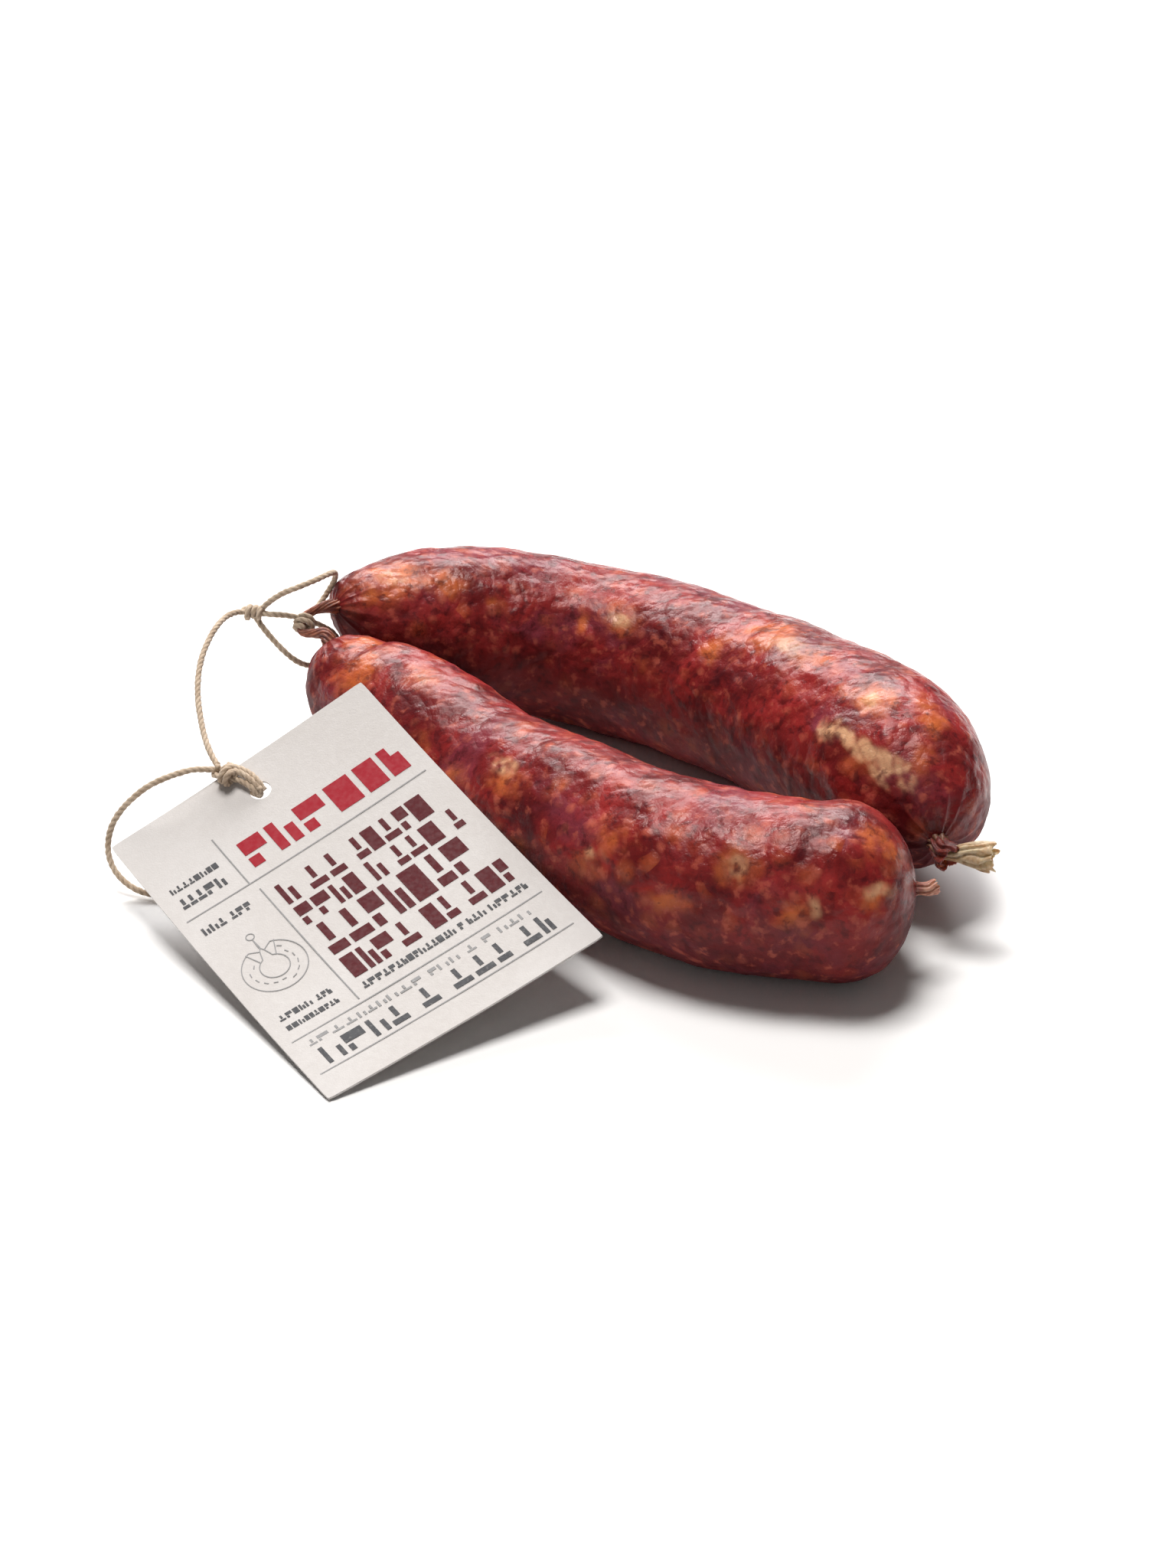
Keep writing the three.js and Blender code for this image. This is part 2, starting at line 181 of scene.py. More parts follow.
# Materials
class Nodes:
    """A short way to build a node tree."""

    def __init__(self, name, **base):
        self.material = bpy.data.materials.new(name)
        self.material.use_nodes = True
        self.tree = self.material.node_tree
        self.shader = self.tree.nodes["Principled BSDF"]
        for key, value in base.items():
            self.shader.inputs[key.replace("_", " ")].default_value = value
        self.place = self.add("ShaderNodeTexCoord").outputs["Object"]

    def add(self, kind, inputs=None, **settings):
        node = self.tree.nodes.new(kind)
        for key, value in settings.items():
            setattr(node, key, value)
        for key, value in (inputs or {}).items():
            if isinstance(value, bpy.types.NodeSocket):
                self.tree.links.new(value, node.inputs[key])
            else:
                node.inputs[key].default_value = value
        return node

    def noise(self, scale, detail=3.0, place=None, roughness=0.5):
        return self.add("ShaderNodeTexNoise", {
            "Vector": place or self.place, "Scale": scale, "Detail": detail, "Roughness": roughness,
        }).outputs["Fac"]

    def ramp(self, value, low, high, to_low=0.0, to_high=1.0):
        return self.add("ShaderNodeMapRange", {
            "Value": value, "From Min": low, "From Max": high, "To Min": to_low, "To Max": to_high,
        }, interpolation_type="SMOOTHSTEP").outputs["Result"]

    def maths(self, operation, a, b=0.0):
        node = self.add("ShaderNodeMath", operation=operation)
        for socket, value in zip(node.inputs, (a, b)):
            if isinstance(value, bpy.types.NodeSocket):
                self.tree.links.new(value, socket)
            else:
                socket.default_value = value
        return node.outputs["Value"]

    def mix(self, factor, a, b):
        node = self.add("ShaderNodeMix", data_type="RGBA")
        for socket, value in ((node.inputs[0], factor), (node.inputs[6], a), (node.inputs[7], b)):
            if isinstance(value, bpy.types.NodeSocket):
                self.tree.links.new(value, socket)
            elif socket is node.inputs[0]:
                socket.default_value = value
            else:
                socket.default_value = (*value, 1.0)
        return node.outputs[2]

    def attribute(self, name):
        return self.add("ShaderNodeAttribute", attribute_name=name).outputs["Fac"]

    def connect(self, value, key):
        self.tree.links.new(value, self.shader.inputs[key])

    def bump(self, height, distance, strength=1.0):
        node = self.add("ShaderNodeBump", {
            "Height": height, "Distance": distance, "Strength": strength,
        })
        self.connect(node.outputs["Normal"], "Normal")


# Colours of the meat
LEAN_DARK = (0.125, 0.008, 0.009)
LEAN_LIGHT = (0.288, 0.021, 0.020)
MAUVE = (0.190, 0.030, 0.046)
# near black, for dark patches and specks, and for the painted shade on the underside, towards the tips and
# in the creases
NEAR_BLACK_AND_SHADE = (0.048, 0.004, 0.007)
FAT_WARM = (0.450, 0.088, 0.030)
FAT_PINK = (0.490, 0.110, 0.068)
FAT_ORANGE = (0.600, 0.150, 0.038)
FAT_PALE = (0.740, 0.430, 0.235)

# Colours of the twine and the card
TWINE_LIGHT = (0.660, 0.520, 0.385)
TWINE_DARK = (0.480, 0.350, 0.240)
# painted shade in the grooves between the plies
TWINE_GROOVE_SHADE = (0.250, 0.165, 0.100)
TWINE_FIBRE = (0.760, 0.640, 0.490)
CARD_GREY = (0.510, 0.478, 0.458)
CARD_LIGHT = (0.548, 0.520, 0.504)
CARD_SPECK = (0.430, 0.385, 0.350)


def meat_material():
    """Cured meat seen through a thin dry casing: red lean, mauve haze, orange and pale fat, with painted
    shade on the underside and in the creases.
    """
    n = Nodes("cured_meat", Specular_IOR_Level=0.25, Coat_Weight=0.06, Coat_Roughness=0.20,
              Subsurface_Weight=0.06, Subsurface_Scale=0.004)
    n.shader.inputs["Subsurface Radius"].default_value = (1.0, 0.25, 0.12)
    n.shader.inputs["Specular Tint"].default_value = (1.0, 0.77, 0.74, 1.0)
    swirl = n.add("ShaderNodeTexNoise", {"Vector": n.place, "Scale": 95.0, "Detail": 3.0})
    shift = n.add("ShaderNodeVectorMath", {0: swirl.outputs["Color"], 1: (0.5, 0.5, 0.5)},
                  operation="SUBTRACT").outputs[0]
    wide = n.add("ShaderNodeVectorMath", {0: shift, "Scale": 0.010}, operation="SCALE").outputs[0]
    bent = n.add("ShaderNodeVectorMath", {0: n.place, 1: wide}, operation="ADD").outputs[0]
    narrow = n.add("ShaderNodeVectorMath", {0: shift, "Scale": 0.0035}, operation="SCALE").outputs[0]
    eased = n.add("ShaderNodeVectorMath", {0: n.place, 1: narrow}, operation="ADD").outputs[0]

    # lean meat, from maroon to crimson, with mauve and near black patches
    colour = n.mix(n.ramp(n.noise(75.0, 4.0, bent, 0.58), 0.36, 0.64), LEAN_DARK, LEAN_LIGHT)
    mauve = n.ramp(n.noise(48.0, 3.0, bent, 0.55), 0.50, 0.64)
    colour = n.mix(n.maths("MULTIPLY", mauve, 0.74), colour, MAUVE)
    sunk = n.ramp(n.noise(105.0, 3.0, bent, 0.6), 0.44, 0.30)
    colour = n.mix(n.maths("MULTIPLY", sunk, 0.60), colour, NEAR_BLACK_AND_SHADE)

    # grains of fat in two sizes
    grains = n.add("ShaderNodeTexVoronoi", {"Vector": eased, "Scale": 190.0, "Randomness": 1.0})
    pick = n.add("ShaderNodeSeparateColor", {0: grains.outputs["Color"]})
    warm = n.maths("MULTIPLY", n.ramp(pick.outputs[0], 0.58, 0.85),
                   n.ramp(grains.outputs["Distance"], 0.66, 0.10))
    warm = n.maths("MULTIPLY", warm, n.ramp(n.noise(30.0, 2.0), 0.36, 0.60, 0.20, 1.0))
    colour = n.mix(n.maths("MULTIPLY", warm, 0.72), colour, FAT_WARM)
    small = n.add("ShaderNodeTexVoronoi", {"Vector": eased, "Scale": 380.0, "Randomness": 1.0})
    pick = n.add("ShaderNodeSeparateColor", {0: small.outputs["Color"]})
    dots = n.maths("MULTIPLY", n.ramp(pick.outputs[1], 0.72, 0.92),
                   n.ramp(small.outputs["Distance"], 0.58, 0.15))
    colour = n.mix(n.maths("MULTIPLY", dots, 0.58), colour, FAT_PINK)

    # the larger blotches of fat, placed by the attributes on the mesh
    broken = n.ramp(n.noise(150.0, 3.0, bent, 0.55), 0.22, 0.66)
    orange = n.maths("MULTIPLY", n.attribute("orange"), broken)
    colour = n.mix(n.maths("MULTIPLY", orange, 0.76), colour, FAT_ORANGE)
    pale = n.maths("MULTIPLY", n.attribute("pale"), n.ramp(n.noise(230.0, 3.0, bent, 0.6), 0.20, 0.48))
    colour = n.mix(n.maths("MULTIPLY", pale, 0.76), colour, FAT_PALE)
    # dark patches, with painted shade on the underside, and darker towards both tips
    colour = n.mix(n.attribute("dark"), colour, NEAR_BLACK_AND_SHADE)
    # painted shade in the creases and puckered folds
    crease = n.ramp(n.attribute("crease"), 0.0, 1.0)
    colour = n.mix(n.maths("MULTIPLY", crease, 0.18), colour, NEAR_BLACK_AND_SHADE)
    grit = n.noise(330.0, 4.0, eased, 0.60)
    colour = n.mix(n.ramp(grit, 0.47, 0.33, 0.0, 0.62), colour, NEAR_BLACK_AND_SHADE)
    colour = n.mix(n.ramp(grit, 0.54, 0.70, 0.0, 0.42), colour, FAT_PINK)
    n.connect(colour, "Base Color")
    rough = n.ramp(n.noise(240.0, 4.0), 0.30, 0.70, 0.25, 0.40)
    n.connect(n.maths("ADD", rough, n.maths("MULTIPLY", n.attribute("under"), 0.40)), "Roughness")

    # pebbled surface: every grain stands a little proud, with a fine skin texture over it
    large_grain = n.maths("SUBTRACT", 1.0, grains.outputs["Distance"])
    small_grain = n.maths("SUBTRACT", 1.0, small.outputs["Distance"])
    height = n.maths("MULTIPLY", large_grain, 0.78)
    height = n.maths("ADD", height, n.maths("MULTIPLY", small_grain, 0.50))
    height = n.maths("ADD", height, n.maths("MULTIPLY", n.noise(430.0, 4.0, None, 0.58), 0.42))
    height = n.maths("ADD", height, n.maths("MULTIPLY", n.noise(1000.0, 3.0, None, 0.6), 0.20))
    n.bump(height, 0.00066, 0.75)
    return n.material


def casing_material(name, light, dark, root=None):
    """Dried, part see-through casing skin; root is the colour where it leaves the meat."""
    n = Nodes(name, Specular_IOR_Level=0.5, Subsurface_Weight=0.35, Subsurface_Scale=0.002,
              Coat_Weight=0.15, Coat_Roughness=0.35)
    n.shader.inputs["Subsurface Radius"].default_value = (1.0, 0.6, 0.35)
    tone = n.mix(n.ramp(n.noise(700.0, 4.0), 0.35, 0.68), light, dark)
    if root:
        tone = n.mix(n.maths("MULTIPLY", n.attribute("root"), 0.9), tone, root)
    n.connect(tone, "Base Color")
    n.connect(n.ramp(n.noise(900.0, 3.0), 0.3, 0.7, 0.35, 0.62), "Roughness")
    n.bump(n.noise(1500.0, 4.0, None, 0.6), 0.0004, 0.7)
    return n.material


def twine_material():
    """Dry natural fibre, with painted shade in the grooves between the plies."""
    n = Nodes("natural_twine", Specular_IOR_Level=0.25, Sheen_Weight=0.25, Sheen_Roughness=0.6)
    tone = n.mix(n.ramp(n.noise(260.0, 4.0), 0.32, 0.70), TWINE_LIGHT, TWINE_DARK)
    # painted shade in the grooves between the plies
    groove_shade = n.ramp(n.attribute("groove_shade"), 0.0, 1.0)
    tone = n.mix(n.maths("MULTIPLY", groove_shade, 0.50), tone, TWINE_GROOVE_SHADE)
    fibre = n.ramp(n.noise(1900.0, 3.0), 0.5, 0.8)
    tone = n.mix(n.maths("MULTIPLY", fibre, 0.35), tone, TWINE_FIBRE)
    n.connect(tone, "Base Color")
    n.connect(n.ramp(n.noise(1200.0), 0.3, 0.7, 0.78, 0.95), "Roughness")
    n.bump(n.noise(3800.0, 4.0, None, 0.7), 0.0003, 0.8)
    return n.material


def paper_material():
    """Uncoated card with a faint mottle and specks."""
    n = Nodes("tag_card", Specular_IOR_Level=0.35)
    tone = n.mix(n.ramp(n.noise(28.0, 3.0), 0.35, 0.70), CARD_GREY, CARD_LIGHT)
    speck = n.ramp(n.noise(1300.0, 4.0, None, 0.7), 0.60, 0.76)
    tone = n.mix(n.maths("MULTIPLY", speck, 0.20), tone, CARD_SPECK)
    n.connect(tone, "Base Color")
    n.connect(n.ramp(n.noise(800.0, 3.0), 0.3, 0.7, 0.62, 0.82), "Roughness")
    n.bump(n.noise(2200.0, 4.0, None, 0.65), 0.00012, 0.5)
    return n.material


def ink_material(name, colour, worn):
    """Matt ink with paler worn flecks."""
    n = Nodes(name, Specular_IOR_Level=0.15)
    n.connect(n.mix(n.ramp(n.noise(1500.0, 4.0, None, 0.7), 0.50, 0.85), colour, worn), "Base Color")
    n.connect(n.ramp(n.noise(900.0), 0.3, 0.7, 0.50, 0.70), "Roughness")
    return n.material


MEAT = meat_material()
TWINE = twine_material()
PAPER = paper_material()
INK_RED = ink_material("ink_red", (0.290, 0.006, 0.016), (0.330, 0.022, 0.034))
INK_WINE = ink_material("ink_wine", (0.072, 0.003, 0.006), (0.125, 0.014, 0.018))
INK_GREY = ink_material("ink_grey", (0.060, 0.060, 0.065), (0.200, 0.195, 0.190))
INK_PALE = ink_material("ink_pale", (0.250, 0.245, 0.245), (0.420, 0.410, 0.400))


# Twine
TWINE_D = 1.5
PLIES = 3
PLY_TURN = 4.6  # length of twine in which a ply goes once round
TWINE_SIDES = 21
PLY_OFFSET, PLY_RADIUS = 0.36, 0.64  # shares of the twine's radius
HAIR_RINGS, HAIR_SIDES = 5, 3
HAIR_LIFT = 0.08  # fibres stay this far above the surface, in mm
TWINE_LIFT = 0.02  # and the twine this far


def set_attribute(piece, name, values):
    data = piece.data.attributes.new(name, "FLOAT", "POINT")
    data.data.foreach_set("value", np.asarray(values, np.float32))


def laid_twine(line, radius, seed, thin_ends=False):
    """Rings of a three-ply twine round a line in mm, and how deep in a groove each point is, for the
    painted groove shade.
    """
    draw = np.random.RandomState(seed)
    _, side, rise = frames_along(line)
    reach = reach_along(line)
    angle = np.linspace(0, 2 * math.pi, TWINE_SIDES, endpoint=False)
    wander = noise(np.stack([reach, reach * 0 + seed, reach * 0], 1), 3.5)
    turn = 2 * math.pi * reach / PLY_TURN + draw.uniform(0, 6) + 0.35 * wander
    psi = (angle[None, :] - turn[:, None]) * PLIES / (2 * math.pi)
    psi = (psi - np.round(psi)) * 2 * math.pi / PLIES
    chord = np.sqrt(np.maximum(PLY_RADIUS ** 2 - (PLY_OFFSET * np.sin(psi)) ** 2, 1e-6))
    lobe = PLY_OFFSET * np.cos(psi) + chord
    thick = radius * (1 + 0.06 * noise(np.stack([reach, reach * 0 + 9.1 + seed, reach * 0], 1), 2.2))
    if thin_ends:
        thick = thick * (1 - 0.25 * smooth(reach, reach[-1] - 2.5, reach[-1]))
    ring = line[:, None, :] + thick[:, None, None] * lobe[..., None] * (
        np.cos(angle)[None, :, None] * side[:, None, :] + np.sin(angle)[None, :, None] * rise[:, None, :])
    return ring, 1 - smooth(lobe, 0.80, 0.98)


def hairs(line, radius, count, seed, longest=1.1):
    """Loose fibres that stand off a twine, as thin three-sided tubes."""
    draw = np.random.RandomState(seed)
    tangent, side, rise = frames_along(line)
    verts, faces = [], []
    for _ in range(count):
        i = draw.randint(1, len(line) - 1)
        a = draw.uniform(0, 2 * math.pi)
        out = side[i] * math.cos(a) + rise[i] * math.sin(a)
        along = tangent[i] * draw.choice([-1, 1])
        length = draw.uniform(0.35, longest)
        bend = unit(np.cross(out, along)) * draw.uniform(-0.5, 0.5)
        points = []
        for t in np.linspace(0, 1, HAIR_RINGS):
            points.append(line[i] + out * (radius * 0.85 + length * 0.55 * t ** 1.4)
                          + along * length * t + bend * length * t * t)
        points = np.array(points)
        points[:, 2] = np.maximum(points[:, 2], HAIR_LIFT)
        _, s, r = frames_along(points)
        thick = draw.uniform(0.022, 0.038) * (1 - 0.6 * np.linspace(0, 1, HAIR_RINGS))
        start = sum(len(v) for v in verts)
        ring = [points + thick[:, None] * (math.cos(b) * s + math.sin(b) * r)
                for b in (0, 2 * math.pi / 3, 4 * math.pi / 3)]
        verts.append(np.stack(ring, 1).reshape(-1, 3))
        faces += grid_faces(HAIR_RINGS, HAIR_SIDES, start)
        last = start + (HAIR_RINGS - 1) * HAIR_SIDES
        faces += [[start + 2, start + 1, start], [last, last + 1, last + 2]]
    return np.vstack(verts), faces


def twine_mesh(lines, radius, seed, hair=0.9, thin_ends=False):
    """One mesh of several laid lines, in row frame metres, with fibres; hair is how many per mm."""
    verts, faces, groove_shade = [], [], []
    count = 0
    for k, line in enumerate(lines):
        ring, deep = laid_twine(line, radius, seed + k, thin_ends)
        v, f = tube(ring)
        verts.append(v)
        faces += [[i + count for i in face] for face in f]
        groove_shade += [deep.ravel(), np.zeros(2)]
        count += len(v)
        reach = np.linalg.norm(np.diff(line, axis=0), axis=1).sum()
        v, f = hairs(line, radius, max(3, int(hair * reach)), seed + 50 + k)
        verts.append(v)
        faces += [[i + count for i in face] for face in f]
        groove_shade.append(np.zeros(len(v)))
        count += len(v)
    verts = np.vstack(verts)
    verts[:, 2] = np.maximum(verts[:, 2], TWINE_LIFT)
    return to_frame(verts), faces, np.concatenate(groove_shade)


def twine_piece(name, lines, seed, nodes, radius=TWINE_D / 2 * 0.98, hair=0.9, thin_ends=False):
    verts, faces, groove_shade = twine_mesh(lines, radius, seed, hair, thin_ends)
    piece = make_piece(name, verts, faces, TWINE)
    set_attribute(piece, "groove_shade", groove_shade)
    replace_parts(piece, *nodes)
    return piece


# Routes, as x, y, z in layout millimetres, the same points as in the CAD
UPPER_ROUTE = [
    [-69.5, 45.2, 39.0], [-67.8, 45.2, 40.4], [-65.6, 45.0, 42.4], [-62.6, 44.7, 44.4], [-59.2, 44.8, 45.8],
    [-55.8, 46.4, 46.6], [-53.2, 49.0, 46.8], [-51.8, 52.2, 46.0], [-51.6, 55.4, 44.0], [-52.4, 57.6, 41.0],
    [-54.2, 58.0, 37.8], [-56.2, 56.2, 35.4], [-57.6, 53.0, 34.6], [-58.2, 49.6, 35.4], [-58.2, 46.6, 37.0],
]
MIDDLE_ROUTE = [[-69.5, 45.2, 39.0], [-66.4, 44.6, 38.9], [-62.6, 44.8, 38.5], [-59.0, 45.6, 37.4]]
LOWER_ROUTE = [
    [-70.0, 45.2, 39.0], [-69.0, 44.6, 37.0], [-67.4, 44.0, 34.8], [-65.4, 43.4, 32.4], [-63.4, 43.0, 30.2],
    [-61.4, 43.2, 28.0], [-59.2, 44.2, 26.0], [-56.6, 46.0, 24.6], [-53.8, 48.0, 24.4], [-51.6, 49.6, 26.0],
    [-51.2, 50.2, 28.8], [-52.4, 49.6, 31.6], [-54.6, 48.2, 34.0], [-57.6, 46.6, 36.4],
]
TAG_ROUTE = [
    [-71.5, 45.4, 39.0], [-73.4, 43.4, 40.0], [-75.2, 40.6, 40.6], [-76.6, 37.4, 40.6], [-77.8, 34.0, 40.0],
    [-78.8, 30.4, 39.0], [-79.6, 26.6, 37.6], [-80.0, 22.8, 36.0], [-80.0, 19.0, 34.2], [-79.6, 15.2, 32.2],
    [-78.8, 11.4, 30.2], [-77.8, 7.6, 28.4], [-76.6, 4.0, 27.0], [-75.2, 0.8, 25.8], [-73.6, -2.0, 24.8],
]
TAIL_ROUTE = [
    [-73.2, -3.4, 24.4], [-75.6, -5.0, 25.4], [-78.4, -6.2, 26.0], [-81.6, -7.6, 25.8], [-84.8, -8.6, 25.0],
    [-88.0, -9.4, 23.6], [-91.0, -10.0, 21.4], [-93.8, -10.4, 18.6], [-96.0, -11.0, 15.4],
    [-97.2, -11.8, 12.0], [-97.4, -12.8, 8.6], [-96.4, -14.0, 5.6], [-94.2, -15.4, 3.2],
    [-91.0, -16.8, 1.6], [-87.0, -17.8, 0.9], [-83.0, -18.4, 0.8], [-79.5, -18.6, 0.8],
]
RING_STEP = 0.32


def length_of(line):
    return float(np.linalg.norm(np.diff(line, axis=0), axis=1).sum())


def free_cord(name, route, seed, thin_ends=False):
    line = curve_through(route, RING_STEP)
    piece = twine_piece(f"{name}_laid", [line], seed, [name], thin_ends=thin_ends)


free_cord("twine_upper_strand", UPPER_ROUTE, 21)
free_cord("twine_lower_strand", LOWER_ROUTE, 23)
free_cord("twine_tag_strand", TAG_ROUTE, 25)
free_cord("twine_tail", TAIL_ROUTE, 27, thin_ends=True)
twine_piece("twine_middle_strand_laid", [curve_through(MIDDLE_ROUTE, RING_STEP)], 29,
            ["twine_middle_strand"])


def wraps(start, end, turns, radius, step, phase=0.0, waist=0.0, flat=1.0):
    """A coil of twine round the line from start to end, tucked in at both ends."""
    start, end = np.array(start), np.array(end)
    t = np.linspace(0, 1, 300)
    axis = unit(end - start)
    side = unit(np.cross(axis, [0.1, 0.0, 1.0]))
    rise = np.cross(side, axis)
    tuck = np.minimum(1, np.minimum(t, 1 - t) * 9) ** 0.7
    around = phase + 2 * math.pi * turns * t
    r = radius * tuck * (1 - waist * np.cos(4 * math.pi * t))
    line = (start + np.outer(t, end - start) + np.outer(r * np.cos(around), side)
            + np.outer(flat * r * np.sin(around), rise))
    return even(line, step)


# The knot: two lumps wound side by side
KNOT_LUMPS = np.array([[-71.7, 45.4, 39.0], [-68.6, 45.1, 39.1]])
knot_axis = unit(KNOT_LUMPS[1] - KNOT_LUMPS[0])
knot_lines = [
    wraps(KNOT_LUMPS[0] - knot_axis * 1.0, KNOT_LUMPS[1] + knot_axis * 0.9, 3.6, 1.15, 0.3, 0.4, 0.18),
    wraps(KNOT_LUMPS[0] - knot_axis * 0.3, KNOT_LUMPS[0] + knot_axis * 1.1, 1.3, 1.35, 0.3, 2.2),
]
twine_piece("twine_knot_wound", knot_lines, 31, ["twine_knot"], radius=0.68, hair=1.2)


# Links: a swept body with lumps, shrink wrinkles and puckered ends. The spines are the CAD's.
# The back link's tied end is plumper than the CAD's, whose cap is 52 mm long with a power of 1.75.
FLAT_DEPTH = 0.7  # how far a link is pressed flat where it rests, in mm
FLOOR_EASE = 0.9  # height over which its belly eases onto the surface
FRONT = {
    "spine": [
        [-52.4, 41.2, 15], [-50, 39, 11.8], [-45.5, 35, 7], [-34, 26, 2.2], [-16.5, 7.8, -0.8],
        [3.5, -14, -0.6], [20.5, -29.6, 0], [34, -38, 0], [46.5, -41.8, 0], [58.5, -43.5, 0.3],
        [76, -44.5, 1],
    ],
    "aside": 0.0, "tied": 16.0, "free": 19.2,
    "tied_cap": 30, "tied_power": 2.0, "free_cap": 18, "free_power": 2.2,
}
BACK = {
    "spine": [
        [-51.5, 9.6, 18.6], [-46.8, 13.6, 16.4], [-39.5, 18.2, 12.4], [-27.5, 23.2, 7.8], [-12, 26.7, 3.8],
        [6.5, 26, 0.6], [25, 17.2, 0], [44, 0.2, 0.8], [62, -22.6, 3.8], [73.5, -41.2, 4.8],
        [79.5, -58, 3.8], [82, -70, 2],
    ],
    "aside": 39.8, "tied": 19.4, "free": 20.6,
    "tied_cap": 46, "tied_power": 1.86, "free_cap": 34, "free_power": 2.1,
}


def link_line(link):
    """The link's centreline, from the tie to the free end."""
    rest = link["free"] - FLAT_DEPTH
    return curve_through([[x, y + link["aside"], lift + rest] for x, y, lift in link["spine"]], 0.25)


def cap(from_tip, length, power):
    """Share of the full radius at that distance from the tip, rounded as a superellipse."""
    left = np.clip(1 - from_tip / length, 0, 1)
    return np.maximum(0, 1 - left ** power) ** (1 / power)


LINK_ROWS = 380
LINK_SIDES = 216


def blotches(along, length, spots, radius, phi):
    """Soft spots: each is fraction along, angle round from the top (growing toward the side that
    faces the tag), half length, half width in mm, and strength."""
    total = np.zeros_like(along)
    for at, angle, half_long, half_round, strength in spots:
        turn = np.angle(np.exp(1j * (phi - math.radians(angle))))
        spread = ((along - at) * length / half_long) ** 2 + (turn * radius / half_round) ** 2
        total = np.maximum(total, strength * np.exp(-0.9 * spread))
    return total


